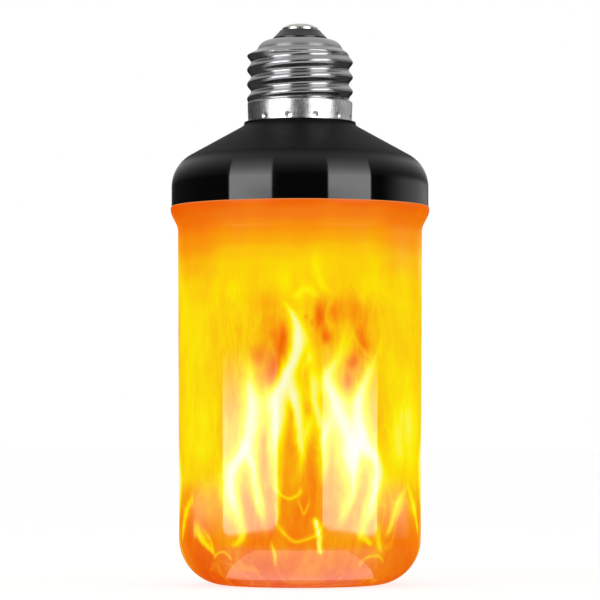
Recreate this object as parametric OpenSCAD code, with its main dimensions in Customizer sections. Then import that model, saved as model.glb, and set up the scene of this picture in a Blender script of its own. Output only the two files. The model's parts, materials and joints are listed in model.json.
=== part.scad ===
// Flame-effect LED bulb with a screw base, standing base up on its flat head.
// Sizes are in millimetres. +Z is up, and the origin is the middle of the head's flat face.
// It comes apart into the frosted diffuser, the black collar, the screw shell with its
// insulator and contact, the light column inside the diffuser, and the driver board.

/* [Diffuser] */
// Diameter of the frosted tube at its head
tube_d = 59.4; // [50:0.2:70]
// How much wider the tube is at its flare than at its head
tube_draft = 0.8; // [0:0.1:1.6]
// Height from the head to the edge of the collar
diffuser_h = 93; // [80:1:110]
// Radius of the rounded corner round the head
head_round = 11.5; // [6:0.5:15]
// Wall thickness of the tube and the head
diffuser_wall = 1.6; // [1.2:0.1:2.4]
// How far the rim stands out from the tube
rim_flare = 1.8; // [1.4:0.1:3]
// Height of the upright rim next to the collar
rim_h = 0.9; // [0.6:0.1:4]
// Height of the curve between the tube and the rim
flare_h = 5; // [3:0.2:8]
// Radius of the rounded edge of the rim
rim_round = 0.4; // [0.2:0.05:0.6]
// Height of the spigot that plugs into the collar
spigot_h = 4; // [3:0.5:6]
// Wall thickness of the spigot
spigot_wall = 1.4; // [1:0.1:2]

/* [Collar] */
// Wall thickness of the collar
collar_wall = 2; // [1.6:0.1:2.4]
// How far the collar lies inside the diffuser's rim
collar_inset = 0.2; // [0:0.05:0.4]
// Height of the collar's upright band
band_h = 4.8; // [3.4:0.2:8]
// Radius of the collar's shoulder
shoulder_round = 9; // [7:0.5:12]
// Tilt of the collar's cone away from upright, in degrees
cone_tilt = 61; // [54:1:66]
// How far the lip under the screw shell stands out from the shell
lip_ledge = 0.85; // [0.4:0.05:1.5]
// Height of that lip
lip_h = 0.9; // [0.6:0.1:2]
// Wall thickness of the neck inside the screw shell
neck_wall = 1.8; // [1.5:0.1:2.4]
// How far the neck stops short of the thread
neck_short = 1.8; // [1.5:0.1:2.4]
// Radius of the lip's upper edge
lip_round = 0.2; // [0.1:0.05:0.3]
// Thickness of the ribs that the driver board is pressed against
rib_t = 1.6; // [1:0.1:2.4]
// Number of those ribs
rib_count = 6; // [3:1:8]
// Distance from the light column's flange to the ribs
rib_gap = 3; // [2:0.2:5]

/* [Screw shell] */
// Diameter over the crests of the thread
thread_d = 26.2; // [22:0.1:31]
// Depth of the thread from crest to root
thread_depth = 1; // [0.6:0.1:1.3]
// Height of one turn of the thread
thread_pitch = 3.63; // [3:0.01:4.4]
// Number of turns
thread_turns = 3.7; // [2.4:0.1:4.6]
// Wall thickness of the rolled shell
shell_wall = 0.45; // [0.36:0.01:0.6]
// Height of the plain skirt next to the collar
skirt_h = 4.6; // [3.8:0.1:7]
// How far the skirt lies inside the crests
skirt_inset = 0.15; // [0.1:0.05:0.3]
// How far the shell's rounded end lies inside the thread's roots
dome_inset = 1.3; // [0.9:0.1:1.8]
// Radius of the shell's rounded end
dome_round = 3.6; // [3:0.1:4.4]
// Width of the flat ring round the eye at the shell's end
eye_ring = 0.5; // [0.3:0.1:1]
// Number of punched dents that hold the shell on the neck
dent_count = 12; // [6:1:16]
// Diameter of one dent
dent_d = 1.4; // [1:0.1:1.7]
// Depth of one dent
dent_depth = 0.3; // [0.2:0.02:0.34]
// Height of the dents' middles above the lip
dent_rise = 0.9; // [0.8:0.05:1.6]

/* [Contact] */
// How far the insulator stands out of the shell
insulator_h = 2.4; // [1.6:0.1:4]
// Diameter of the centre contact
contact_d = 8.8; // [6:0.2:10]
// Height of the centre contact
contact_h = 1.5; // [1:0.1:2.2]
// Diameter of the flat on the centre contact
contact_flat_d = 4.4; // [3:0.2:5]
// Diameter of the contact's shank
shank_d = 2.2; // [1.6:0.1:3]
// How far the shank stands out inside the insulator
shank_out = 1.2; // [0.6:0.1:2]

/* [Light column] */
// Diameter of the moulded former that the flexible board is wrapped round
former_d = 26; // [20:0.5:32]
// Wall thickness of the former
former_wall = 1.6; // [1.2:0.1:2.4]
// Free height between the head and the former's closed end
former_rise = 13; // [10:0.5:20]
// Width of the flange that carries the former on the driver board
flange_w = 5.4; // [5:0.1:7]
// Thickness of the flange
flange_t = 1.6; // [1.2:0.1:2.4]
// Thickness of the flexible board
flex_t = 0.3; // [0.2:0.05:0.5]
// Width of the tail that takes the flexible board through the driver board
tail_w = 8; // [6:0.5:10]
// Rows of LEDs along the column
led_rows = 11; // [6:1:12]
// LEDs in each row
led_columns = 9; // [6:1:10]
// Width, height and thickness of one LED
led_w = 2.8; // [2:0.1:3.4]
led_l = 3.5; // [2.6:0.1:4.2]
led_t = 0.7; // [0.5:0.1:1]

/* [Driver board] */
// Thickness of the round circuit board
board_t = 1.6; // [1.2:0.1:2]
// Diameter and height of the smoothing capacitor
can_d = 8; // [6:0.2:9]
can_h = 11; // [9:0.5:12]
// Diameter of the insulated leads
lead_d = 1.1; // [0.9:0.05:1.2]

/* [Hidden] */
$fn = 72;
led_names = [for (i = [1:led_rows]) str("led_row_", i)];

// Clearances: a plugged joint, a fit that only has to clear, and two curved faces that touch.
plug_gap = 0.15;
slip_gap = 0.4;
skin_gap = 0.05;
// How far a cutting solid runs past what it cuts, and how far two joined solids overlap.
past = 1;
lap = 0.4;

// Radii, from the tube outwards.
head_r = tube_d / 2;
tube_r = head_r + tube_draft / 2;
rim_r = tube_r + rim_flare;
collar_r = rim_r - collar_inset;
collar_in_r = collar_r - collar_wall;
spigot_r = collar_in_r - plug_gap;

// Radii of the screw base.
crest_r = thread_d / 2;
root_r = crest_r - thread_depth;
skirt_r = crest_r - skirt_inset;
lip_r = skirt_r + lip_ledge;
neck_r = skirt_r - shell_wall - plug_gap;
neck_bore_r = neck_r - neck_wall;
dome_r = root_r - dome_inset;
eye_edge_r = dome_r - dome_round;
eye_r = eye_edge_r - eye_ring;

// The rounded end is an arc that starts at this angle, where the thread runs out into it.
dome_from = 20;
// Lengths over which the thread rises from the skirt and runs out into the rounded end.
thread_fade_in = 0.9;
thread_fade_out = 1.6;
// Where the thread starts round the shell, in degrees, and how finely it is drawn.
thread_phase = 70;
thread_steps = 12;
thread_sides = 40;
// Where the first dent lies, in degrees.
dent_from = 17;

// The collar's cone is the line r * cos(cone_tilt) + z * sin(cone_tilt) = cone_out.
shoulder_x = collar_r - shoulder_round;
shoulder_z = diffuser_h + band_h;
cone_out = shoulder_x * cos(cone_tilt) + shoulder_z * sin(cone_tilt) + shoulder_round;
cone_in = cone_out - collar_wall;
function cone_z(r, line) = (line - r * cos(cone_tilt)) / sin(cone_tilt);

// Heights, from the head up.
board_z = diffuser_h + spigot_h;
board_top = board_z + board_t;
lip_z = cone_z(lip_r, cone_out);
base_z = lip_z + lip_h;
neck_top = base_z + skirt_h - neck_short;
thread_z = base_z + skirt_h;
thread_len = thread_turns * thread_pitch;
dome_z = thread_z + thread_len - dome_round * sin(dome_from);
shell_top = dome_z + dome_round;
contact_z = shell_top + insulator_h;
insulator_sink = 0.2;
insulator_foot = dome_z - insulator_sink;
shank_foot = insulator_foot - shank_out;

// The light column.
former_r = former_d / 2;
flange_r = former_r + flange_w;
flange_z = board_z - flange_t;
flex_r = former_r + skin_gap;
flex_out_r = flex_r + flex_t;
flex_inset = 0.8;
flex_clear = 0.5;
flex_foot = former_rise + flex_inset;
flex_top = flange_z - flex_clear;
led_margin = 0.5;
led_pitch = (flex_top - flex_foot - 2 * led_margin) / led_rows;
peg_count = 3;
peg_r = 1.2;
peg_ring_r = former_r + flange_w / 2;
peg_out = 1;

// The ribs reach from the collar's wall in to here.
rib_r = flange_r + rib_gap;

// The neutral lead's slot in the neck, which leaves the lead clear of the shell and the slot's floor.
lead_r = lead_d / 2;
slot_w = lead_d + slip_gap;
slot_x = -(skirt_r - shell_wall - plug_gap - lead_r);
slot_r = -slot_x - lead_r - skin_gap;

// Places on the driver board: across, along and turn.
can_at = [4.2, 4.2, 0];
film_at = [-12.4, 5.5, 20];
choke_at = [2.2, -13.4, 0];
fuse_at = [-7.5, -12.5, 25];
bridge_at = [14.5, 9.5, 35];
regulator_at = [-16.4, -4.5, 90];
controller_at = [11.8, -9.9, -40];
switch_at = [-4.5, 14.5, 0];

// Points of an arc in a half section, from angle a to angle b.
arc_steps = 10;
function arc(x, z, r, a, b) =
    [for (i = [0:arc_steps]) let (t = a + (b - a) * i / arc_steps) [x + r * cos(t), z + r * sin(t)]];

// A smooth step from 0 to 1.
function ease(t) = let (u = min(max(t, 0), 1)) u * u * (3 - 2 * u);

// Points of an S-curve in a half section, from radius a at height z to radius b at height z + h.
function s_curve(a, b, z, h) =
    [for (i = [0:arc_steps]) let (t = i / arc_steps) [a + (b - a) * ease(t), z + h * t]];

module turned(points) {
    rotate_extrude() polygon(points);
}

module ring_of(count, start = 0) {
    for (i = [0:count - 1]) rotate(start + i * 360 / count) children();
}

// The frosted shell: flat head, rounded corner, drafted tube, flared rim and the spigot above it.
module diffuser() {
    flare_z = diffuser_h - rim_h - flare_h;
    corner_x = head_r - head_round;
    bore_r = tube_r - diffuser_wall;
    spigot_in_r = spigot_r - spigot_wall;
    outside = concat([[0, 0]], arc(corner_x, head_round, head_round, -90, 0),
        s_curve(tube_r, rim_r, flare_z, flare_h),
        arc(rim_r - rim_round, diffuser_h - rim_round, rim_round, 0, 90));
    spigot = [[spigot_r, diffuser_h], [spigot_r, board_z], [spigot_in_r, board_z]];
    inside = concat([[spigot_in_r, diffuser_h], [bore_r, flare_z]],
        arc(corner_x, head_round, head_round - diffuser_wall, 0, -90), [[0, diffuser_wall]]);
    color("orange") turned(concat(outside, spigot, inside));
}

// The half section of the collar's outer form, filled to the axis up to the neck's top.
collar_outside = concat([[collar_r, diffuser_h]],
    arc(shoulder_x, shoulder_z, shoulder_round, 0, cone_tilt),
    [[lip_r, lip_z]], arc(lip_r - lip_round, base_z - lip_round, lip_round, 0, 90),
    [[neck_r, base_z], [neck_r, neck_top]]);

// The gloss black moulding: band, shoulder, cone, lip and neck, with ribs inside it.
module collar() {
    inside = concat([[neck_bore_r, neck_top], [neck_bore_r, cone_z(neck_bore_r, cone_in)]],
        arc(shoulder_x, shoulder_z, shoulder_round - collar_wall, cone_tilt, 0),
        [[collar_in_r, diffuser_h]]);
    color("#141414") difference() {
        union() {
            turned(concat(collar_outside, inside));
            intersection() {
                turned(concat([[0, diffuser_h]], collar_outside, [[0, neck_top]]));
                ring_of(rib_count, 180 / rib_count) translate([rib_r, -rib_t / 2, board_top])
                    cube([collar_in_r + collar_wall / 2 - rib_r, rib_t, shoulder_round]);
            }
        }
        translate([-neck_r - past, -slot_w / 2, base_z + lip_h])
            cube([neck_r + past - slot_r, slot_w, skirt_h]);
    }
}

// Triangles that join sections of points_each points, each section to the next one.
function skin(sections, points_each, closed) = [
    for (i = [0:sections - (closed ? 1 : 2)], j = [0:points_each - 1], half = [0, 1])
    let (a = i * points_each, b = ((i + 1) % sections) * points_each, k = (j + 1) % points_each)
    half == 0 ? [a + j, a + k, b + j] : [b + j, a + k, b + k]];

// The middle of the rounded end's wall, at a height above the start of the thread.
function dome_mid(z) =
    let (rise = max(thread_z + z - dome_z, 0), mid_round = dome_round - shell_wall / 2)
    eye_edge_r + sqrt(mid_round * mid_round - rise * rise);

// The rolled round thread: outer radius at an angle and a height above the start of the thread.
function thread_at(a, z) =
    let (wave = cos(360 * z / thread_pitch - a + thread_phase))
    let (crest = (crest_r + root_r) / 2 + thread_depth / 2 * wave)
    let (skirt_join = skirt_r - shell_wall / 4, dome_join = dome_mid(z) + shell_wall / 4)
    let (rolled = dome_join + (crest - dome_join) * ease((thread_len - z) / thread_fade_out))
    skirt_join + (rolled - skirt_join) * ease(z / thread_fade_in);

// The wall's thickness there: half, in the wall's middle, where it is lapped into its neighbours.
function thread_wall(z) =
    shell_wall * (0.5 + 0.5 * min(ease(z / thread_fade_in), ease((thread_len - z) / thread_fade_out)));

module thread_wall_solid() {
    rows = ceil(thread_turns * thread_steps);
    heights = concat([-lap], [for (i = [1:rows - 1]) thread_len * i / rows], [thread_len + lap]);
    count = len(heights);
    points = [for (i = [0:thread_sides - 1], j = [0:2 * count - 1])
        let (a = 360 * i / thread_sides, z = heights[j < count ? j : 2 * count - 1 - j])
        let (r = thread_at(a, z) - (j < count ? 0 : thread_wall(z)))
        [r * cos(a), r * sin(a), thread_z + z]];
    polyhedron(points = points, faces = skin(thread_sides, 2 * count, true));
}

// The nickel-plated shell: punched skirt, rolled thread, and the rounded end with its eye.
module screw_shell() {
    dent_r = (dent_d * dent_d / 4 + dent_depth * dent_depth) / (2 * dent_depth);
    skirt = [[skirt_r - shell_wall, base_z], [skirt_r, base_z], [skirt_r, thread_z],
        [skirt_r - shell_wall, thread_z]];
    dome = concat(arc(eye_edge_r, dome_z, dome_round, dome_from, 90),
        [[eye_r, shell_top], [eye_r, shell_top - shell_wall]],
        arc(eye_edge_r, dome_z, dome_round - shell_wall, 90, dome_from));
    color("silver") union() {
        difference() {
            turned(skirt);
            ring_of(dent_count, dent_from)
                translate([skirt_r + dent_r - dent_depth, 0, base_z + dent_rise]) sphere(dent_r);
        }
        thread_wall_solid();
        turned(dome);
    }
}

// The dark plug that fills the shell's rounded end and carries the contact.
module insulator() {
    plug_r = eye_r - skin_gap;
    seat_round = dome_round - shell_wall - skin_gap;
    seat_to = 84;
    shank_r = shank_d / 2 + skin_gap;
    rim_w = 0.4;
    color("#2a2a2c") turned(concat([[shank_r, insulator_foot]],
        [[eye_edge_r + seat_round, insulator_foot]],
        arc(eye_edge_r, dome_z, seat_round, 0, seat_to), [[plug_r, shell_top - shell_wall - skin_gap]],
        [[plug_r, shell_top + insulator_h / 4], [contact_d / 2 + rim_w, contact_z], [shank_r, contact_z]]));
}

// The tinned rivet in the middle of the insulator.
module centre_contact() {
    contact_top = contact_z + contact_h;
    edge_w = 0.7;
    color("gainsboro") turned([[0, shank_foot], [shank_d / 2, shank_foot], [shank_d / 2, contact_z],
        [contact_d / 2, contact_z], [contact_d / 2, contact_z + contact_h / 3],
        [contact_d / 2 - edge_w, contact_z + 2 * contact_h / 3], [contact_flat_d / 2, contact_top],
        [0, contact_top]]);
}

// The moulded former: closed tube, flange with a notch for the tail, and pegs into the board.
module led_former() {
    bore_r = former_r - former_wall;
    vent_r = 3;
    color("whitesmoke") union() {
        turned([[vent_r, former_rise], [former_r, former_rise], [former_r, board_z],
            [bore_r, board_z], [bore_r, former_rise + former_wall], [vent_r, former_rise + former_wall]]);
        difference() {
            turned([[former_r - lap, flange_z], [flange_r, flange_z], [flange_r, board_z],
                [former_r - lap, board_z]]);
            difference() {
                translate([0, -tail_w / 2 - slip_gap, flange_z - past])
                    cube([flange_r + past, tail_w + 2 * slip_gap, flange_t + 2 * past]);
                cylinder(r = former_r, h = board_z + 2 * past);
            }
        }
        ring_of(peg_count, 60) translate([peg_ring_r, 0, board_z - lap])
            cylinder(r = peg_r, h = lap + board_t + peg_out);
    }
}

// The white flexible board: a sleeve round the former, with a tail through the driver board.
module flex_board() {
    tail_top = board_top + peg_out;
    color("ivory") union() {
        turned([[flex_r, flex_foot], [flex_out_r, flex_foot], [flex_out_r, flex_top],
            [flex_r, flex_top]]);
        intersection() {
            turned([[flex_r, flex_top - lap], [flex_out_r, flex_top - lap], [flex_out_r, tail_top],
                [flex_r, tail_top]]);
            translate([0, -tail_w / 2, 0]) cube([flex_out_r + past, tail_w, tail_top + past]);
        }
    }
}

// One surface-mounted LED, facing +X, with its phosphor window sunk into the body.
module led() {
    window_inset = 0.5;
    window_depth = 0.15;
    difference() {
        translate([0, -led_w / 2, -led_l / 2]) cube([led_t, led_w, led_l]);
        translate([led_t - window_depth, window_inset - led_w / 2, window_inset - led_l / 2])
            cube([past, led_w - 2 * window_inset, led_l - 2 * window_inset]);
    }
}

module led_row(i) {
    z = flex_foot + led_margin + (i + 0.5) * led_pitch;
    color("gold") ring_of(led_columns, 180 / led_columns) translate([flex_out_r + skin_gap, 0, z]) led();
}

// The round driver board, clamped between the diffuser's spigot and the collar's ribs.
module driver_board() {
    tail_x = flex_r * cos(asin(tail_w / 2 / flex_r)) - slip_gap;
    color("darkgreen") difference() {
        translate([0, 0, board_z]) cylinder(r = collar_in_r - slip_gap, h = board_t);
        translate([tail_x, -tail_w / 2 - slip_gap, board_z - past])
            cube([flex_out_r + slip_gap - tail_x, tail_w + 2 * slip_gap, board_t + 2 * past]);
        ring_of(peg_count, 60) translate([peg_ring_r, 0, board_z - past])
            cylinder(r = peg_r + skin_gap, h = board_t + 2 * past);
    }
}

// Sets a component down on the driver board.
module on_board(place) {
    translate([place[0], place[1], board_top]) rotate(place[2]) children();
}

// A can capacitor with a groove rolled in near its foot.
module smoothing_capacitor() {
    can_r = can_d / 2;
    rim = 0.6;
    groove_z = 2;
    groove_half = 0.4;
    groove_depth = 0.3;
    color("#26262e") on_board(can_at) turned([[0, 0], [can_r - rim, 0], [can_r, rim],
        [can_r, groove_z - groove_half], [can_r - groove_depth, groove_z],
        [can_r, groove_z + groove_half], [can_r, can_h - rim], [can_r - rim, can_h], [0, can_h]]);
}

// A box with its upright edges rounded, centred on X and Y.
module moulded_block(x, y, z, round_r) {
    linear_extrude(z) union() {
        square([x - 2 * round_r, y], center = true);
        square([x, y - 2 * round_r], center = true);
        for (i = [-1, 1], j = [-1, 1])
            translate([i * (x / 2 - round_r), j * (y / 2 - round_r)]) circle(round_r);
    }
}

module film_capacitor() {
    body_x = 8;
    body_y = 4;
    body_h = 6.5;
    corner_r = 0.8;
    color("firebrick") on_board(film_at) moulded_block(body_x, body_y, body_h, corner_r);
}

// A wound choke: drum core with a waist, where the winding lies.
module choke() {
    drum_r = 3;
    drum_h = 6.5;
    cheek_h = 1;
    waist_r = 2.6;
    color("dimgray") on_board(choke_at) turned([[0, 0], [drum_r, 0], [drum_r, cheek_h],
        [waist_r, cheek_h], [waist_r, drum_h - cheek_h], [drum_r, drum_h - cheek_h],
        [drum_r, drum_h], [0, drum_h]]);
}

// A wire-ended resistor on two bent legs, lying along X.
module fuse_resistor() {
    body_r = 1.5;
    body_l = 7;
    leg_r = 0.35;
    axis_z = 2.6;
    leg_run = 1.2;
    leg_x = body_l / 2 + leg_run;
    color("burlywood") on_board(fuse_at) union() {
        translate([-body_l / 2, 0, axis_z]) rotate([0, 90, 0]) cylinder(r = body_r, h = body_l);
        translate([-leg_x, 0, axis_z]) rotate([0, 90, 0]) cylinder(r = leg_r, h = 2 * leg_x);
        for (i = [-1, 1]) translate([i * leg_x, 0, 0]) {
            cylinder(r = leg_r, h = axis_z);
            translate([0, 0, axis_z]) sphere(leg_r);
        }
    }
}

// A chip with bent legs on two sides: legs on each side, and their spacing.
module chip(x, y, z, legs, spacing) {
    leg_w = 0.45;
    leg_out = 1;
    leg_t = 0.25;
    stand_off = 0.15;
    union() {
        translate([-x / 2, -y / 2, stand_off]) cube([x, y, z - stand_off]);
        for (i = [0:legs - 1], leg_y = [-y / 2 - leg_out, y / 2 - lap])
            translate([(i - (legs - 1) / 2) * spacing - leg_w / 2, leg_y, 0])
                cube([leg_w, leg_out + lap, leg_t]);
    }
}

module bridge_rectifier() {
    body_x = 4.7;
    body_y = 3.9;
    body_h = 1.6;
    leg_pitch = 2.5;
    color("#1c1c1c") on_board(bridge_at) chip(body_x, body_y, body_h, 2, leg_pitch);
}

module regulator_chip() {
    body_x = 4.5;
    body_y = 2.5;
    body_h = 1.5;
    leg_pitch = 1.5;
    color("#1c1c1c") on_board(regulator_at) chip(body_x, body_y, body_h, 3, leg_pitch);
}

module flame_controller() {
    body_x = 9.9;
    body_y = 3.9;
    body_h = 1.5;
    leg_pitch = 1.27;
    color("#1c1c1c") on_board(controller_at) chip(body_x, body_y, body_h, 8, leg_pitch);
}

// The sealed can of the tilt switch that turns the flame over when the bulb is turned over.
module tilt_switch() {
    can_r = 2.4;
    can_top = 7;
    foot_r = 2.7;
    foot_h = 0.6;
    crown = 0.4;
    color("goldenrod") on_board(switch_at) turned([[0, 0], [foot_r, 0], [foot_r, foot_h],
        [can_r, foot_h], [can_r, can_top - crown], [can_r - crown, can_top], [0, can_top]]);
}

// A smooth run of points through the chosen ones, in the plane of X and Z.
run_steps = 3;
function between(p, i, t) =
    let (a = p[max(i - 1, 0)], b = p[i], c = p[i + 1], d = p[min(i + 2, len(p) - 1)])
    let (bend = 2 * a - 5 * b + 4 * c - d, twist = 3 * b - a - 3 * c + d)
    0.5 * (2 * b + (c - a) * t + bend * t * t + twist * t * t * t);
function run(p) = concat(
    [for (i = [0:len(p) - 2], k = [0:run_steps - 1]) between(p, i, k / run_steps)],
    [p[len(p) - 1]]);

// An insulated lead along a run of points in the plane of X and Z, with flat ends.
lead_sides = 10;
module lead(route, start_along, end_along) {
    path = run(route);
    last = len(path) - 1;
    function heading(i) = i == 0 ? start_along : i == last ? end_along : path[i + 1] - path[i - 1];
    function along(i) = heading(i) / norm(heading(i));
    points = [for (i = [0:last], j = [0:lead_sides - 1])
        let (t = along(i), a = 360 * j / lead_sides)
        [path[i][0] + lead_r * sin(a) * t[1], lead_r * cos(a), path[i][1] - lead_r * sin(a) * t[0]]];
    foot = [for (j = [0:lead_sides - 1]) lead_sides - 1 - j];
    tip = [for (j = [0:lead_sides - 1]) last * lead_sides + j];
    polyhedron(points = points, faces = concat([foot, tip], skin(last + 1, lead_sides, false)));
}

// From the contact's shank down to the driver board.
module live_lead() {
    foot_x = -3.2;
    bow = 0.6;
    drop = 4;
    rise = 6;
    color("crimson") lead([[0, shank_foot], [0, shank_foot - drop], [-bow, neck_top],
        [foot_x, board_top + rise], [foot_x, board_top]], [0, -1], [0, -1]);
}

// From the driver board over the neck's edge and down its slot, where the shell presses on it.
module neutral_lead() {
    bore_x = -(neck_bore_r - lead_d);
    foot_x = bore_x + lead_d;
    over_x = (slot_x + bore_x) / 2;
    rise = 4;
    color("royalblue") lead([[foot_x, board_top], [foot_x, board_top + rise], [bore_x, base_z],
        [bore_x, neck_top], [over_x, neck_top + 1.5 * lead_d], [slot_x, neck_top],
        [slot_x, base_z + lip_h + skin_gap]], [0, 1], [0, -1]);
}

diffuser();
collar();
screw_shell();
insulator();
centre_contact();
led_former();
flex_board();
driver_board();
smoothing_capacitor();
film_capacitor();
choke();
fuse_resistor();
bridge_rectifier();
regulator_chip();
flame_controller();
tilt_switch();
live_lead();
neutral_lead();
for (i = [0:led_rows - 1]) led_row(i);
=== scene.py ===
import bpy
import json
import math
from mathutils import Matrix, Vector


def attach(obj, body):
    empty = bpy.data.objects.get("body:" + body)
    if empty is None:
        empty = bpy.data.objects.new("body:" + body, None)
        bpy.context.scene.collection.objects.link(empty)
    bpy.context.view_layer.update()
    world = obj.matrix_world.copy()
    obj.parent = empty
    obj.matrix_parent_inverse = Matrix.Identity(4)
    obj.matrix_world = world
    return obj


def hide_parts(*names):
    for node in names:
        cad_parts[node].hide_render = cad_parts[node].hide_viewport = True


# A flame-effect bulb standing on its flat head. Sizes in the dictionaries are millimetres.
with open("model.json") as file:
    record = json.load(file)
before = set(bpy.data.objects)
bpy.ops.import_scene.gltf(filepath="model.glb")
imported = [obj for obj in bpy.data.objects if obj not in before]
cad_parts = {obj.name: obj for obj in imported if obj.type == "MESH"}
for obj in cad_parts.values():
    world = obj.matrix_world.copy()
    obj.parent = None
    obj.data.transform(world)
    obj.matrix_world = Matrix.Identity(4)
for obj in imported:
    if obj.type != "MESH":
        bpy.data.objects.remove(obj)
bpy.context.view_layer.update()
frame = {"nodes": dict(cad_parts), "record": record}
nodes = frame["nodes"]
mm = 0.001
print("frame loaded:", len(nodes), "nodes")


# ---- small helpers for meshes
def arcPoints(x, z, radius, start, end, steps):
    turns = [math.radians(start + (end - start) * i / steps) for i in range(steps + 1)]
    return [(x + radius * math.cos(t), z + radius * math.sin(t)) for t in turns]


def smoothStep(t):
    u = min(max(t, 0), 1)
    return u * u * (3 - 2 * u)


def sCurve(fromX, toX, z, height, steps):
    return [(fromX + (toX - fromX) * smoothStep(i / steps), z + height * i / steps) for i in range(steps + 1)]


def turnOutline(name, outline, steps):
    # one point, pulled along the outline and spun round the bulb's axis
    bpy.ops.object.select_all(action="DESELECT")
    bpy.ops.mesh.primitive_plane_add(size=mm, location=(0, 0, 0))
    piece = bpy.context.object
    piece.name = name
    bpy.ops.object.mode_set(mode="EDIT")
    bpy.ops.mesh.select_mode(type="VERT")
    bpy.ops.mesh.select_all(action="SELECT")
    bpy.ops.mesh.merge(type="CENTER")
    here = (0, 0)
    for count, there in enumerate(outline):
        step = ((there[0] - here[0]) * mm, 0, (there[1] - here[1]) * mm)
        if count == 0:
            bpy.ops.transform.translate(value=step)
        else:
            bpy.ops.mesh.extrude_region_move(TRANSFORM_OT_translate={"value": step})
        here = there
    bpy.ops.mesh.select_all(action="SELECT")
    bpy.ops.mesh.spin(steps=steps, angle=2 * math.pi, center=(0, 0, 0), axis=(0, 0, 1))
    tidyMesh()
    bpy.ops.object.mode_set(mode="OBJECT")
    return piece


def tidyMesh():
    bpy.ops.mesh.select_all(action="SELECT")
    bpy.ops.mesh.remove_doubles(threshold=0.004 * mm)
    bpy.ops.mesh.normals_make_consistent(inside=False)


def applyAll(piece):
    bpy.ops.object.select_all(action="DESELECT")
    piece.select_set(True)
    bpy.context.view_layer.objects.active = piece
    for modifier in list(piece.modifiers):
        bpy.ops.object.modifier_apply(modifier=modifier.name)


def finishPiece(piece, material, node, angle=35):
    bpy.ops.object.select_all(action="DESELECT")
    piece.select_set(True)
    bpy.context.view_layer.objects.active = piece
    bpy.ops.object.transform_apply(location=True, rotation=True, scale=True)
    bpy.ops.object.shade_smooth_by_angle(angle=math.radians(angle))
    piece.data.materials.clear()
    piece.data.materials.append(material)
    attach(piece, "root")
    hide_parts(node)


# ---- small helpers for materials
def screenColour(red, green, blue):
    def straight(value):
        share = value / 255
        return share / 12.92 if share <= 0.04045 else ((share + 0.055) / 1.055) ** 2.4
    return (straight(red), straight(green), straight(blue), 1)


def feed(tree, socket, value):
    if isinstance(value, bpy.types.NodeSocket):
        tree.links.new(value, socket)
    else:
        socket.default_value = value


def calc(tree, operation, *values, clamp=False):
    node = tree.nodes.new("ShaderNodeMath")
    node.operation = operation
    node.use_clamp = clamp
    for socket, value in zip(node.inputs, values):
        feed(tree, socket, value)
    return node.outputs[0]


def rangeOf(tree, value, fromMin, fromMax, toMin, toMax, smooth=True):
    node = tree.nodes.new("ShaderNodeMapRange")
    node.interpolation_type = "SMOOTHSTEP" if smooth else "LINEAR"
    for label, amount in (("Value", value), ("From Min", fromMin), ("From Max", fromMax),
                          ("To Min", toMin), ("To Max", toMax)):
        feed(tree, node.inputs[label], amount)
    return node.outputs["Result"]


def noise(tree, vector, scale, detail=2, roughness=0.5, distortion=0, colour=False):
    node = tree.nodes.new("ShaderNodeTexNoise")
    feed(tree, node.inputs["Vector"], vector)
    for label, amount in (("Scale", scale), ("Detail", detail), ("Roughness", roughness),
                          ("Distortion", distortion)):
        node.inputs[label].default_value = amount
    return node.outputs["Color" if colour else "Fac"]


def mapping(tree, vector, scale=(1, 1, 1), location=(0, 0, 0), turn=(0, 0, 0)):
    node = tree.nodes.new("ShaderNodeMapping")
    feed(tree, node.inputs["Vector"], vector)
    node.inputs["Scale"].default_value = scale
    node.inputs["Location"].default_value = location
    node.inputs["Rotation"].default_value = turn
    return node.outputs[0]


def ramp(tree, value, stops, interpolation="LINEAR"):
    # stops: position and a colour, in rising order
    node = tree.nodes.new("ShaderNodeValToRGB")
    feed(tree, node.inputs["Fac"], value)
    band = node.color_ramp
    band.interpolation = interpolation
    band.elements[0].position, band.elements[1].position = stops[0][0], stops[-1][0]
    band.elements[0].color, band.elements[1].color = stops[0][1], stops[-1][1]
    for position, colour in stops[1:-1]:
        band.elements.new(position).color = colour
    return node.outputs["Color"]


def grey(value):
    return (value, value, value, 1)


def mixColour(tree, share, first, second, blend="MIX"):
    node = tree.nodes.new("ShaderNodeMix")
    node.data_type = "RGBA"
    node.blend_type = blend
    feed(tree, node.inputs["Factor"], share)
    feed(tree, node.inputs[6], first)
    feed(tree, node.inputs[7], second)
    return node.outputs[2]


def objectPlace(tree):
    return tree.nodes.new("ShaderNodeTexCoord").outputs["Object"]


def makeGroup(name, inputs, outputs):
    tree = bpy.data.node_groups.new(name, "ShaderNodeTree")
    kinds = {"float": "NodeSocketFloat", "colour": "NodeSocketColor", "vector": "NodeSocketVector"}
    for label, kind, value in inputs:
        socket = tree.interface.new_socket(label, in_out="INPUT", socket_type=kinds[kind])
        if value is not None:
            socket.default_value = value
    for label, kind in outputs:
        tree.interface.new_socket(label, in_out="OUTPUT", socket_type=kinds[kind])
    entry = tree.nodes.new("NodeGroupInput")
    leave = tree.nodes.new("NodeGroupOutput")
    return tree, entry.outputs, leave.inputs


def useGroup(tree, group, **inputs):
    node = tree.nodes.new("ShaderNodeGroup")
    node.node_tree = group
    for label, value in inputs.items():
        feed(tree, node.inputs[label], value)
    return node.outputs


def newMaterial(name):
    material = bpy.data.materials.new(name)
    material.use_nodes = True
    return material, material.node_tree, material.node_tree.nodes["Principled BSDF"]


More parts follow.
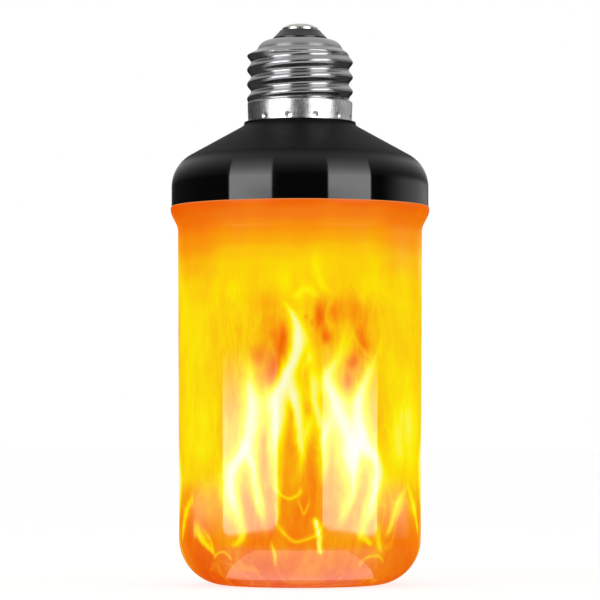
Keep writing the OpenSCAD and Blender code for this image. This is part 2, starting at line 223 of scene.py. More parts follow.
# ---- the flame pattern, as node groups
flameLook = {
    "panelAngle": 120,   # the pattern is laid round the tube in three panels
    "panelStretch": 0.06,
    "warp": 1.5,
    "warpScale": 95,
    "fineWarp": 0.4,
    "fineWarpScale": 330,
    "feather": 1.5,
    # up the tube (mm from the head) and how hot it is, in the middle of a panel and at its sides
    "middle": ((0, 0.06), (5, 0.18), (11, 0.24), (18, 0.27), (26, 0.31), (34, 0.38), (42, 0.41), (52, 0.42),
               (60, 0.44), (67, 0.48), (72, 0.53), (78, 0.51), (81, 0.45), (84, 0.35), (87, 0.26), (90, 0.17), (93, 0.06)),
    "side": ((0, 0.02), (4, 0.08), (10, 0.12), (15.6, 0.19), (21, 0.32), (27, 0.49), (33, 0.58), (40, 0.60),
             (50, 0.54), (58, 0.52), (67, 0.52), (73, 0.50), (78, 0.42), (84, 0.27), (89, 0.14), (93, 0.05)),
    "sideFrom": 17,
    "sideTo": 24,
    # heat and colour, from the darkest orange to white
    "heat": ((0.0, (238, 86, 0)), (0.10, (243, 108, 4)), (0.22, (250, 134, 12)), (0.34, (252, 166, 12)),
             (0.46, (254, 200, 12)), (0.57, (255, 226, 6)), (0.64, (255, 242, 12)), (0.71, (255, 246, 90)),
             (0.79, (255, 250, 150)), (0.87, (255, 253, 200)), (0.97, (255, 255, 245))),
    # each tongue: height, place across, half width and strength, from its foot to its tip
    "tongues": {
        "leftMiddle": ((20, -5.4, 0.4, 0), (24, -6.0, 0.8, 0.4), (29, -6.2, 1.0, 0.6), (35, -6.2, 1.2, 0.85),
                       (40, -6.2, 1.6, 1), (45, -6.2, 2.0, 1), (48.3, -4.8, 1.8, 1), (52.8, -2.7, 1.5, 0.96),
                       (57, -1.0, 1.4, 0.95), (61, -0.6, 1.3, 0.93), (64.5, -1.2, 1.0, 0.78), (67, -2.4, 0.9, 0.5),
                       (69.4, -4.6, 0.6, 0)),
        "leftMiddleFork": ((30, 0.4, 0.5, 0), (34, -0.1, 0.8, 0.6), (38, -0.5, 0.9, 0.75), (43, -1.1, 1.2, 0.85),
                           (48, -1.9, 1.3, 0.8), (53, -1.8, 1, 0)),
        "thin": ((32, 5.5, 0.6, 0), (37, 5.0, 0.7, 0.4), (41, 4.1, 0.8, 0.6), (45, 3.1, 1.1, 0.65),
                 (49, 3.3, 1.2, 0.6), (53, 3.2, 1.1, 0.4), (57, 3.0, 0.9, 0.2), (61, 2.8, 0.8, 0)),
        "stream": ((51, 0.2, 0.5, 0), (53.6, 1.2, 0.8, 0.3), (55.3, 2.2, 0.9, 0.4), (58.4, 2.2, 0.9, 0.35),
                   (61, 1.4, 0.8, 0.3), (64, 0.9, 0.6, 0)),
        "low": ((25, 0.2, 0.5, 0), (30, 0.6, 0.7, 0.35), (35, 1.2, 0.9, 0.45), (39, 1.9, 0.8, 0.35), (42, 2.2, 0.6, 0)),
        "rightMiddle": ((18, 10, 0.6, 0), (23, 10.6, 0.8, 0.3), (27, 11.3, 1.2, 0.6), (30.5, 11.8, 1.7, 0.9),
                        (34, 12, 2.1, 1), (37.5, 11.1, 2.3, 1), (41, 9.6, 2.1, 1), (45, 8.5, 1.9, 1), (48.3, 7.2, 1.6, 0.9),
                        (51.7, 7.0, 1.3, 0.75), (55, 8.3, 1.1, 0.6), (58.4, 9.8, 0.9, 0.4), (61, 10.2, 0.8, 0.2),
                        (64, 10.6, 0.8, 0.12), (68, 11, 0.6, 0)),
        "rightMiddleFork": ((24, 5.4, 0.5, 0), (29, 5.7, 0.7, 0.5), (33, 5.9, 0.9, 0.7), (38, 6.4, 1.1, 0.7),
                            (43, 6.9, 1.3, 0)),
        "left": ((10, -13.4, 0.8, 0), (13, -14, 1, 0.3), (16, -14.4, 1.2, 0.65), (19, -15.3, 1.4, 0.85),
                 (22, -16.0, 1.5, 0.95), (26, -16.4, 1.7, 1), (29.5, -15.9, 1.9, 1), (33, -13.7, 1.9, 1),
                 (37, -12.0, 1.7, 0.95), (42, -11.3, 1.7, 0.95), (46, -11.3, 1.5, 0.95), (50, -12.0, 1.2, 0.75),
                 (54, -12.4, 0.9, 0.45), (58, -12.6, 0.7, 0)),
        "leftFork": ((12, -8.3, 0.6, 0), (17, -9, 0.7, 0.45), (20.5, -9.8, 0.8, 0.8), (24, -10.4, 0.9, 0.85),
                     (28, -11, 1.1, 0.9), (32, -11.6, 1.2, 0.8), (37, -12, 1.3, 0)),
        "right": ((10, 14.2, 0.8, 0), (12.5, 14.8, 1, 0.25), (16, 15.8, 1.2, 0.65), (19, 16.9, 1.4, 0.9),
                  (22, 17.8, 1.5, 0.95), (26, 18.4, 1.6, 1), (29, 18.0, 1.7, 1), (33, 16.4, 1.8, 1),
                  (37.3, 15, 1.7, 0.95), (41, 14.3, 1.6, 0.95), (45, 14.3, 1.5, 0.95), (49.5, 15.4, 1.2, 0.75),
                  (53.9, 16.9, 0.9, 0.4), (57, 17.8, 0.6, 0)),
        "rightFork": ((14, 9.8, 0.6, 0), (19, 11.0, 0.8, 0.6), (23, 12.2, 0.9, 0.8), (27, 12.9, 1.0, 0.85),
                      (31, 13.4, 1.1, 0.85), (35, 13.9, 1.2, 0.7), (40, 14, 1.2, 0)),
        "wisp": ((11, 21, 0.35, 0), (12.7, 21.3, 0.45, 0.45), (16.9, 22.6, 0.6, 0.6), (20.1, 23.8, 0.6, 0.55),
                 (22.5, 25.2, 0.5, 0.35), (25, 26, 0.4, 0)),
        "ember": ((8, -20.8, 0.5, 0), (9.2, -21.6, 0.7, 0.5), (11.1, -23.6, 1.1, 0.7), (13, -24.6, 1.1, 0.6),
                  (15, -25, 0.8, 0.3), (17, -25.2, 0.5, 0)),
        "emberHair": ((7.5, -20.6, 0.25, 0), (9, -21, 0.3, 0.35), (11.5, -21.6, 0.3, 0.35), (13.5, -22.8, 0.3, 0.3),
                      (15, -23.5, 0.3, 0)),
        "leftFoot": ((10, -15.9, 0.3, 0), (11, -15.6, 0.5, 0.5), (12.5, -14.6, 0.7, 0.45), (14.3, -13.4, 0.8, 0.3),
                     (16, -13, 0.8, 0)),
        "rightFoot": ((9.8, 16.9, 0.3, 0), (10.6, 16.6, 0.5, 0.5), (12, 15.6, 0.7, 0.45), (13.5, 14.8, 0.8, 0.3),
                      (15.5, 14.6, 0.8, 0)),
        "rightHair": ((7, 19.6, 0.25, 0), (9, 19.3, 0.3, 0.4), (12, 18.9, 0.35, 0.4), (14.5, 18.6, 0.4, 0.3),
                      (17, 18.3, 0.4, 0)),
        "innerHair": ((15, -5.3, 0.3, 0), (17, -5.5, 0.35, 0.45), (20, -5.6, 0.4, 0.45), (24, -5.8, 0.4, 0.35),
                      (28, -5.4, 0.4, 0)),
        "drop": ((5, -6.3, 0.3, 0), (6.5, -6.2, 0.3, 0.4), (9, -6.3, 0.45, 0.6), (11, -6.8, 0.35, 0.35),
                 (12.8, -6.9, 0.3, 0)),
        "spark": ((7.5, 5.5, 0.25, 0), (8.5, 5.5, 0.35, 0.75), (11, 5.2, 0.4, 0.85), (13, 5.4, 0.5, 0.8),
                  (15.3, 4.9, 0.6, 0.85), (17, 4.5, 0.6, 0.9), (18.2, 4.3, 0.4, 0)),
        "veeLeft": ((17.5, 0.9, 0.2, 0), (18.3, 0.5, 0.25, 0.3), (19.8, -0.4, 0.25, 0.3), (22, -1.0, 0.2, 0)),
        "veeRight": ((17.5, 0.9, 0.2, 0), (18.3, 1.2, 0.25, 0.3), (20.1, 2.0, 0.25, 0.3), (22.4, 2.5, 0.2, 0)),
        "streak": ((69.6, 8.6, 0.6, 0), (70.6, 7.2, 0.7, 0.14), (71.8, 5.8, 0.8, 0.2), (74, 4.7, 0.9, 0.2),
                   (77, 4.0, 1.0, 0.14), (82, 3.8, 1.2, 0)),
        "upperHair": ((60.8, 7.0, 0.3, 0), (62.5, 7.7, 0.35, 0.14), (64.5, 7.0, 0.35, 0.16), (66.5, 6.9, 0.35, 0.16),
                      (68.5, 8.0, 0.4, 0.12), (70.6, 8.8, 0.4, 0)),
        "outerHair": ((54, 16.9, 0.4, 0), (56.6, 15.4, 0.45, 0.18), (59, 13.6, 0.45, 0.16), (63, 11.8, 0.4, 0)),
    },
    # arcs of fire: across, up, radius, half width, +1 for the upper half or -1 for the lower, and strength
    "arcs": ((-3.0, 24.4, 3.3, 0.35, -1, 0.32), (0.3, 17.8, 6.2, 0.4, -1, 0.3), (1.4, 69, 2.5, 0.8, 1, 0.2),
             (-18.8, 6.7, 2.1, 0.3, 1, 0.3), (17.2, 5.2, 2.6, 0.3, 1, 0.25)),
    # darker places between the tongues: across, up, half width, half height and depth
    "hollows": ((-4.4, 60.8, 1.1, 2.8, 0.26), (-5.2, 57, 1.4, 3.0, 0.28), (-6.6, 52.6, 1.3, 2.6, 0.22),
                (-10, 56.1, 1.5, 2.5, 0.18), (-7.5, 60.6, 1.4, 1.6, 0.10), (-7.5, 50.2, 1.4, 2.6, 0.12),
                (5.1, 65.4, 1.5, 3.2, 0.27), (6.5, 60.8, 1.0, 1.6, 0.26), (8.6, 66, 2.6, 3.6, 0.15),
                (14.3, 66, 3.8, 3.4, 0.20), (14.5, 60.7, 1.9, 2.8, 0.26), (15.6, 58, 1.4, 2.0, 0.16),
                (12.3, 55, 1.2, 2.0, 0.22), (11.4, 50, 1.0, 2.2, 0.22), (1.4, 65.3, 0.6, 0.7, 0.14),
                (2.9, 64.2, 0.6, 0.7, 0.12), (-8.2, 69, 2.4, 2.4, 0.06), (-2.2, 42.6, 1.1, 3.4, 0.24),
                (1.4, 43.6, 0.9, 3, 0.2), (-1.8, 36, 1.8, 5, 0.18), (2.4, 33, 1.6, 3.6, 0.14), (3.4, 26, 1.4, 4, 0.08),
                (-12.9, 20, 1.4, 6, 0.06), (-8.6, 35.5, 1.1, 5, 0.2)),
}


def makePlaceGroup():
    tree, inputs, outputs = makeGroup("bulbPlace", [], [("Across", "float"), ("Up", "float"), ("Panel", "float")])
    split = tree.nodes.new("ShaderNodeSeparateXYZ")
    tree.links.new(objectPlace(tree), split.inputs[0])
    x, y, z = split.outputs
    radius = calc(tree, "SQRT", calc(tree, "ADD", calc(tree, "MULTIPLY", x, x), calc(tree, "MULTIPLY", y, y)))
    radiusMm = calc(tree, "MULTIPLY", radius, 1000)
    angle = calc(tree, "ARCTAN2", x, calc(tree, "MULTIPLY", y, -1))
    wide = math.radians(flameLook["panelAngle"])
    panel = calc(tree, "ROUND", calc(tree, "DIVIDE", angle, wide))
    local = calc(tree, "SUBTRACT", angle, calc(tree, "MULTIPLY", panel, wide))
    across = calc(tree, "MULTIPLY", radiusMm, calc(tree, "SINE", local))
    inward = calc(tree, "MAXIMUM", calc(tree, "SUBTRACT", 18.2, radiusMm), 0)
    up = calc(tree, "SUBTRACT", calc(tree, "MULTIPLY", z, 1000), inward)
    for socket, value in zip(outputs, (across, up, panel)):
        tree.links.new(value, socket)
    return tree


def makeTongueGroup():
    # the path colour holds the place across, the half width and the strength at this height
    tree, inputs, outputs = makeGroup("flameTongue", [("Across", "float", 0), ("Path", "colour", None)],
                                      [("Glow", "float")])
    split = tree.nodes.new("ShaderNodeSeparateColor")
    tree.links.new(inputs["Path"], split.inputs[0])
    middle = calc(tree, "MULTIPLY_ADD", split.outputs[0], 60, -30)
    half = calc(tree, "MULTIPLY_ADD", split.outputs[1], 9, 0.05)
    off = calc(tree, "DIVIDE", calc(tree, "SUBTRACT", inputs["Across"], middle), half)
    square = calc(tree, "MULTIPLY", off, off)
    core = calc(tree, "EXPONENT", calc(tree, "MULTIPLY", square, -0.52))
    halo = calc(tree, "EXPONENT", calc(tree, "MULTIPLY", square, -0.12))
    glow = calc(tree, "ADD", calc(tree, "MULTIPLY", core, 0.67), calc(tree, "MULTIPLY", halo, 0.12))
    tree.links.new(calc(tree, "MULTIPLY", glow, split.outputs[2]), outputs["Glow"])
    return tree


def makeHollowGroup():
    tree, inputs, outputs = makeGroup(
        "flameHollow",
        [("Across", "float", 0), ("Up", "float", 0), ("Place", "vector", None), ("Wide", "float", 1),
         ("Tall", "float", 1), ("Depth", "float", 0.2)], [("Shade", "float")])
    split = tree.nodes.new("ShaderNodeSeparateXYZ")
    tree.links.new(inputs["Place"], split.inputs[0])
    offX = calc(tree, "DIVIDE", calc(tree, "SUBTRACT", inputs["Across"], split.outputs[0]), inputs["Wide"])
    offZ = calc(tree, "DIVIDE", calc(tree, "SUBTRACT", inputs["Up"], split.outputs[1]), inputs["Tall"])
    square = calc(tree, "ADD", calc(tree, "MULTIPLY", offX, offX), calc(tree, "MULTIPLY", offZ, offZ))
    shade = calc(tree, "EXPONENT", calc(tree, "MULTIPLY", square, -1))
    tree.links.new(calc(tree, "MULTIPLY", shade, inputs["Depth"]), outputs["Shade"])
    return tree


def makeArcGroup():
    # half a ring of fire
    tree, inputs, outputs = makeGroup(
        "flameArc",
        [("Across", "float", 0), ("Up", "float", 0), ("Place", "vector", None), ("Radius", "float", 1),
         ("Half", "float", 0.3), ("Side", "float", 1), ("Strength", "float", 0.4)], [("Glow", "float")])
    split = tree.nodes.new("ShaderNodeSeparateXYZ")
    tree.links.new(inputs["Place"], split.inputs[0])
    offX = calc(tree, "SUBTRACT", inputs["Across"], split.outputs[0])
    offZ = calc(tree, "SUBTRACT", inputs["Up"], split.outputs[1])
    distance = calc(tree, "SQRT", calc(tree, "ADD", calc(tree, "MULTIPLY", offX, offX), calc(
        tree, "MULTIPLY", offZ, offZ)))
    off = calc(tree, "DIVIDE", calc(tree, "SUBTRACT", distance, inputs["Radius"]), inputs["Half"])
    line = calc(tree, "EXPONENT", calc(tree, "MULTIPLY", calc(tree, "MULTIPLY", off, off), -0.7))
    share = calc(tree, "DIVIDE", calc(tree, "MULTIPLY", offZ, inputs["Side"]), inputs["Radius"])
    line = calc(tree, "MULTIPLY", line, rangeOf(tree, share, 0, 0.55, 0, 1))
    tree.links.new(calc(tree, "MULTIPLY", line, inputs["Strength"]), outputs["Glow"])
    return tree


def makeThreadsOfFireGroup():
    # thin bright lines where a drawn-out noise passes its middle value
    tree, inputs, outputs = makeGroup("fireThreads", [("Vector", "vector", None), ("Thickness", "float", 0.02)],
                                      [("Line", "float")])
    value = noise(tree, inputs["Vector"], 1, detail=0.6, roughness=0.4, distortion=0.35)
    off = calc(tree, "ABSOLUTE", calc(tree, "SUBTRACT", value, 0.5))
    line = calc(tree, "SUBTRACT", 1, calc(tree, "DIVIDE", off, inputs["Thickness"]), clamp=True)
    patch = noise(tree, mapping(tree, inputs["Vector"], location=(3.1, 1.7, 5.2)), 0.45, detail=0)
    shown = rangeOf(tree, patch, 0.45, 0.6, 0, 1)
    tree.links.new(calc(tree, "MULTIPLY", line, shown), outputs["Line"])
    return tree


placeGroup = makePlaceGroup()
tongueGroup = makeTongueGroup()
hollowGroup = makeHollowGroup()
arcGroup = makeArcGroup()
fireThreadGroup = makeThreadsOfFireGroup()


def makeFlameGroup():
    look = flameLook
    tree, inputs, outputs = makeGroup("flamePicture", [], [("Color", "colour"), ("Heat", "float")])
    place = objectPlace(tree)
    at = useGroup(tree, placeGroup)
    placeSplit = tree.nodes.new("ShaderNodeSeparateXYZ")
    tree.links.new(place, placeSplit.inputs[0])
    rightness = calc(tree, "DIVIDE", placeSplit.outputs[0], 0.03)
    panel = at["Panel"]
    slow = noise(tree, mapping(tree, place, scale=(1, 1, 0.55)), look["warpScale"], detail=1, colour=True)
    fast = noise(tree, mapping(tree, place, scale=(1, 1, 0.5)), look["fineWarpScale"], detail=2, colour=True)
    slowSplit = tree.nodes.new("ShaderNodeSeparateColor")
    fastSplit = tree.nodes.new("ShaderNodeSeparateColor")
    tree.links.new(slow, slowSplit.inputs[0])
    tree.links.new(fast, fastSplit.inputs[0])

    def shifted(value, channel, share=1):
        first = calc(tree, "MULTIPLY_ADD", slowSplit.outputs[channel], 2 * look["warp"] * share, -look["warp"] * share)
        second = calc(tree, "MULTIPLY_ADD", fastSplit.outputs[channel], 2 * look["fineWarp"], -look["fineWarp"])
        return calc(tree, "ADD", value, calc(tree, "ADD", first, second))

    mirrored = calc(tree, "COMPARE", panel, 1, 0.1)
    lowered = calc(tree, "COMPARE", panel, -1, 0.1)
    flip = calc(tree, "MULTIPLY_ADD", mirrored, -2, 1)
    stretch = calc(tree, "ADD", calc(tree, "MULTIPLY_ADD", mirrored, -look["panelStretch"], 1),
                   calc(tree, "MULTIPLY", lowered, look["panelStretch"]))
    across = shifted(calc(tree, "MULTIPLY", at["Across"], flip), 0)
    up = shifted(at["Up"], 1, share=1.6)
    along = calc(tree, "MULTIPLY", calc(tree, "MULTIPLY", up, stretch), 0.01)

    # how hot the wall is without the tongues
    height = calc(tree, "MULTIPLY", up, 0.01)
    middle = ramp(tree, height, [(z / 100, grey(v)) for z, v in look["middle"]], "EASE")
    side = ramp(tree, height, [(z / 100, grey(v)) for z, v in look["side"]], "EASE")
    sideShare = rangeOf(tree, calc(tree, "ABSOLUTE", across), look["sideFrom"], look["sideTo"], 0, 1)
    base = calc(tree, "ADD", calc(tree, "MULTIPLY", middle, calc(tree, "SUBTRACT", 1, sideShare)),
                calc(tree, "MULTIPLY", side, sideShare))
    clouds = noise(tree, mapping(tree, place, scale=(1, 1, 0.6)), 70, detail=3, roughness=0.55)
    cloudShare = rangeOf(tree, up, 84, 72, 0, 1)
    base = calc(tree, "MULTIPLY_ADD", calc(tree, "MULTIPLY", calc(tree, "SUBTRACT", clouds, 0.5), cloudShare), 0.42, base)
    licks = noise(tree, mapping(tree, place, scale=(1, 1, 0.28)), 420, detail=3, roughness=0.6, distortion=0.6)
    lickShare = calc(tree, "MULTIPLY", rangeOf(tree, up, 86, 62, 0, 1), calc(tree, "MULTIPLY_ADD", sideShare, -0.7, 1))
    lickValue = calc(tree, "MULTIPLY", calc(tree, "SUBTRACT", licks, 0.5), lickShare)
    base = calc(tree, "MULTIPLY_ADD", lickValue, 0.30, base)
    base = calc(tree, "MULTIPLY_ADD", rightness, 0.012, base)
    for x, z, wide, tall, depth in look["hollows"]:
        shade = useGroup(tree, hollowGroup, Across=across, Up=calc(tree, "MULTIPLY", along, 100), Place=(x, z, 0),
                         Wide=wide, Tall=tall, Depth=depth)["Shade"]
        base = calc(tree, "SUBTRACT", base, shade)
    base = calc(tree, "MAXIMUM", base, 0)

    # the tongues are screened over it, so that they join softly
    left = calc(tree, "SUBTRACT", 1, base)
    feathered = calc(tree, "MULTIPLY_ADD", calc(tree, "SUBTRACT", licks, 0.5), look["feather"], across)
    for name, points in look["tongues"].items():
        stops = [(z / 100, ((x + 30) / 60, wide / 10, strength, 1)) for z, x, wide, strength in points]
        path = ramp(tree, along, stops, "CARDINAL")
        glow = useGroup(tree, tongueGroup, Across=feathered, Path=path)["Glow"]
        left = calc(tree, "MULTIPLY", left, calc(tree, "SUBTRACT", 1, glow, clamp=True))
    level = calc(tree, "MULTIPLY", along, 100)
    for x, z, radius, half, side, strength in look["arcs"]:
        glow = useGroup(tree, arcGroup, Across=across, Up=level, Place=(x, z, 0), Radius=radius, Half=half, Side=side,
                        Strength=strength)["Glow"]
        left = calc(tree, "MULTIPLY", left, calc(tree, "SUBTRACT", 1, glow, clamp=True))
    threadsLow = useGroup(tree, fireThreadGroup, Vector=mapping(tree, place, scale=(120, 120, 70)), Thickness=0.035)
    threadsHigh = useGroup(tree, fireThreadGroup, Vector=mapping(tree, place, scale=(230, 230, 60), location=(4, 9, 2)),
                           Thickness=0.045)
    lowShare = calc(tree, "MULTIPLY", rangeOf(tree, up, 30, 20, 0, 1), rangeOf(tree, up, -4, 3, 0, 1))
    highShare = calc(tree, "MULTIPLY", rangeOf(tree, up, 72, 62, 0, 1), rangeOf(tree, up, 22, 40, 0, 1))
    left = calc(tree, "MULTIPLY", left, calc(tree, "SUBTRACT", 1, calc(
        tree, "MULTIPLY", calc(tree, "MULTIPLY", threadsLow["Line"], lowShare), 0.14)))
    left = calc(tree, "MULTIPLY", left, calc(tree, "SUBTRACT", 1, calc(
        tree, "MULTIPLY", calc(tree, "MULTIPLY", threadsHigh["Line"], highShare), 0.08)))
    heat = calc(tree, "SUBTRACT", 1, left, clamp=True)
    colour = ramp(tree, heat, [(v, screenColour(*c)) for v, c in look["heat"]])
    tree.links.new(colour, outputs["Color"])
    tree.links.new(heat, outputs["Heat"])
    return tree


flameGroup = makeFlameGroup()
print("flame pattern built:", len(flameLook["tongues"]), "tongues")


# ---- the diffuser
diffuser = {
    "headRadius": 29.7, "tubeRadius": 30.1, "rimRadius": 31.9, "headRound": 11.5, "wall": 1.6,
    "height": 93, "rimHeight": 0.9, "flareHeight": 5, "rimRound": 0.4, "spigotRadius": 29.55,
    "spigotWall": 1.4, "spigotHeight": 4, "sides": 240, "roughness": 0.016, "glow": 0.86,
    # the pale tan below is a painted highlight for the rim's upper edge
    "edgeTone": (225, 140, 80),
}


def makeDiffuserMaterial():
    material, tree, shader = newMaterial("frostedFlame")
    flame = useGroup(tree, flameGroup)
    place = objectPlace(tree)
    split = tree.nodes.new("ShaderNodeSeparateXYZ")
    tree.links.new(place, split.inputs[0])
    # painted highlight: the rim's upper edge is coloured pale tan, in its glow too, where light would catch it
    edge = rangeOf(tree, split.outputs[2], 0.09268, 0.09288, 0, 0.85)
    colour = mixColour(tree, edge, flame["Color"], screenColour(*diffuser["edgeTone"]))
    tree.links.new(colour, shader.inputs["Emission Color"])
    shader.inputs["Emission Strength"].default_value = diffuser["glow"]
    dim = mixColour(tree, 1.0, colour, (0.22, 0.22, 0.22, 1), "MULTIPLY")
    tree.links.new(dim, shader.inputs["Base Color"])
    # polished tube, satin flare and rim
    satin = rangeOf(tree, split.outputs[2], 0.0862, 0.0874, 0, 1)
    cloth = noise(tree, place, 900, detail=2)
    polish = rangeOf(tree, cloth, 0.3, 0.7, diffuser["roughness"] * 0.8, diffuser["roughness"] * 1.4)
    tree.links.new(calc(tree, "MULTIPLY_ADD", satin, 0.25, polish), shader.inputs["Roughness"])
    sheen = rangeOf(tree, split.outputs[2], 0.060, 0.076, 0.5, 0.1)
    turned = tree.nodes.new("ShaderNodeLayerWeight")
    turned.inputs["Blend"].default_value = 0.5
    sheen = calc(tree, "MULTIPLY", sheen, rangeOf(tree, turned.outputs["Facing"], 0.4, 0.62, 1, 0.04))
    tree.links.new(sheen, shader.inputs["Specular IOR Level"])
    shader.inputs["IOR"].default_value = 1.5
    return material


def makeDiffuser():
    d = diffuser
    cornerX = d["headRadius"] - d["headRound"]
    flareZ = d["height"] - d["rimHeight"] - d["flareHeight"]
    outline = [(0, 0), (cornerX * 0.5, 0)] + arcPoints(cornerX, d["headRound"], d["headRound"], -90, 0, 28)
    outline += [(d["headRadius"] + (d["tubeRadius"] - d["headRadius"]) * t, d["headRound"] + (flareZ - d["headRound"]) * t)
                for t in (0.004, 0.02, 0.15, 0.3, 0.45, 0.6, 0.75, 0.9, 0.98, 0.996)]
    outline += sCurve(d["tubeRadius"], d["rimRadius"], flareZ, d["flareHeight"], 20)
    outline += arcPoints(d["rimRadius"] - d["rimRound"], d["height"] - d["rimRound"], d["rimRound"], 0, 90, 6)
    inner = d["spigotRadius"] - d["spigotWall"]
    outline += [(d["spigotRadius"], d["height"]), (d["spigotRadius"], d["height"] + d["spigotHeight"]),
                (inner, d["height"] + d["spigotHeight"]), (inner, d["height"]),
                (d["tubeRadius"] - d["wall"], flareZ)]
    outline += arcPoints(cornerX, d["headRound"], d["headRound"] - d["wall"], 0, -90, 12) + [(0, d["wall"])]
    piece = turnOutline("frostedTube", outline, d["sides"])
    finishPiece(piece, makeDiffuserMaterial(), "diffuser", 40)
    return piece


makeDiffuser()
print("diffuser made")


# ---- shared surface effects
def makeGrainGroup():
    tree, inputs, outputs = makeGroup(
        "surfaceGrain",
        [("Color", "colour", (0.5, 0.5, 0.5, 1)), ("Scale", "float", 500), ("Tint", "float", 0.1),
         ("Smooth", "float", 0.3), ("Rough", "float", 0.5)],
        [("Color", "colour"), ("Roughness", "float"), ("Height", "float")])
    spots = tree.nodes.new("ShaderNodeTexNoise")
    tree.links.new(objectPlace(tree), spots.inputs["Vector"])
    tree.links.new(inputs["Scale"], spots.inputs["Scale"])
    spots.inputs["Detail"].default_value = 4
    dark = mixColour(tree, 1.0, inputs["Color"], grey(0.6), "MULTIPLY")
    share = calc(tree, "MULTIPLY", rangeOf(tree, spots.outputs["Fac"], 0.35, 0.65, 0, 1), inputs["Tint"])
    tree.links.new(mixColour(tree, share, inputs["Color"], dark), outputs["Color"])
    tree.links.new(rangeOf(tree, spots.outputs["Fac"], 0.3, 0.7, inputs["Smooth"], inputs["Rough"]), outputs["Roughness"])
    tree.links.new(spots.outputs["Fac"], outputs["Height"])
    return tree


grainGroup = makeGrainGroup()


def grainMaterial(name, colour, scale=500, tint=0.3, smooth=0.3, rough=0.5, metal=0, bump=0.02, pattern=None):
    material, tree, shader = newMaterial(name)
    base = pattern(tree) if pattern else colour
    grain = useGroup(tree, grainGroup, Color=base, Scale=scale, Tint=tint, Smooth=smooth, Rough=rough)
    tree.links.new(grain["Color"], shader.inputs["Base Color"])
    tree.links.new(grain["Roughness"], shader.inputs["Roughness"])
    shader.inputs["Metallic"].default_value = metal
    if bump:
        node = tree.nodes.new("ShaderNodeBump")
        node.inputs["Strength"].default_value = 0.4
        node.inputs["Distance"].default_value = bump * mm
        tree.links.new(grain["Height"], node.inputs["Height"])
        tree.links.new(node.outputs["Normal"], shader.inputs["Normal"])
    return material


# ---- the collar
collar = {
    "radius": 31.7, "foot": 93, "bandHeight": 4.8, "shoulderRound": 9, "coneTilt": 61, "wall": 2,
    "lipRadius": 13.8, "lipZ": 113.024, "lipTop": 113.924, "lipRound": 0.22, "coneFillet": 1.4,
    "neckRadius": 12.35, "neckBore": 10.55, "neckTop": 116.724, "sides": 240,
    "ribCount": 6, "ribInner": 21.4, "ribWidth": 1.6, "ribFoot": 98.6,
    "slotWidth": 1.5, "slotFrom": 11.2, "slotFoot": 114.824,
}


def makeCollarMaterial():
    material, tree, shader = newMaterial("glossBlackMoulding")
    place = objectPlace(tree)
    flow = noise(tree, mapping(tree, place, scale=(1, 1, 3)), 60, detail=3, roughness=0.6)
    dust = noise(tree, place, 2600, detail=1)
    colour = ramp(tree, flow, [(0.3, (0.0009, 0.0009, 0.001, 1)), (0.7, (0.0017, 0.0017, 0.0018, 1))])
    tree.links.new(colour, shader.inputs["Base Color"])
    specks = rangeOf(tree, dust, 0.72, 0.8, 0, 0.06)
    split = tree.nodes.new("ShaderNodeSeparateXYZ")
    tree.links.new(place, split.inputs[0])
    # polished round the band, satin up the cone and the lip
    satin = rangeOf(tree, split.outputs[2], 0.1020, 0.1054, 0, 1)
    polish = calc(tree, "ADD", rangeOf(tree, flow, 0.3, 0.7, 0.045, 0.075), specks)
    tree.links.new(calc(tree, "MULTIPLY_ADD", satin, 0.5, polish), shader.inputs["Roughness"])
    tree.links.new(calc(tree, "MULTIPLY_ADD", satin, -0.4, 0.5), shader.inputs["Specular IOR Level"])
    shader.inputs["IOR"].default_value = 1.5
    bump = tree.nodes.new("ShaderNodeBump")
    bump.inputs["Strength"].default_value = 0.15
    bump.inputs["Distance"].default_value = 0.01 * mm
    tree.links.new(flow, bump.inputs["Height"])
    tree.links.new(bump.outputs["Normal"], shader.inputs["Normal"])
    return material


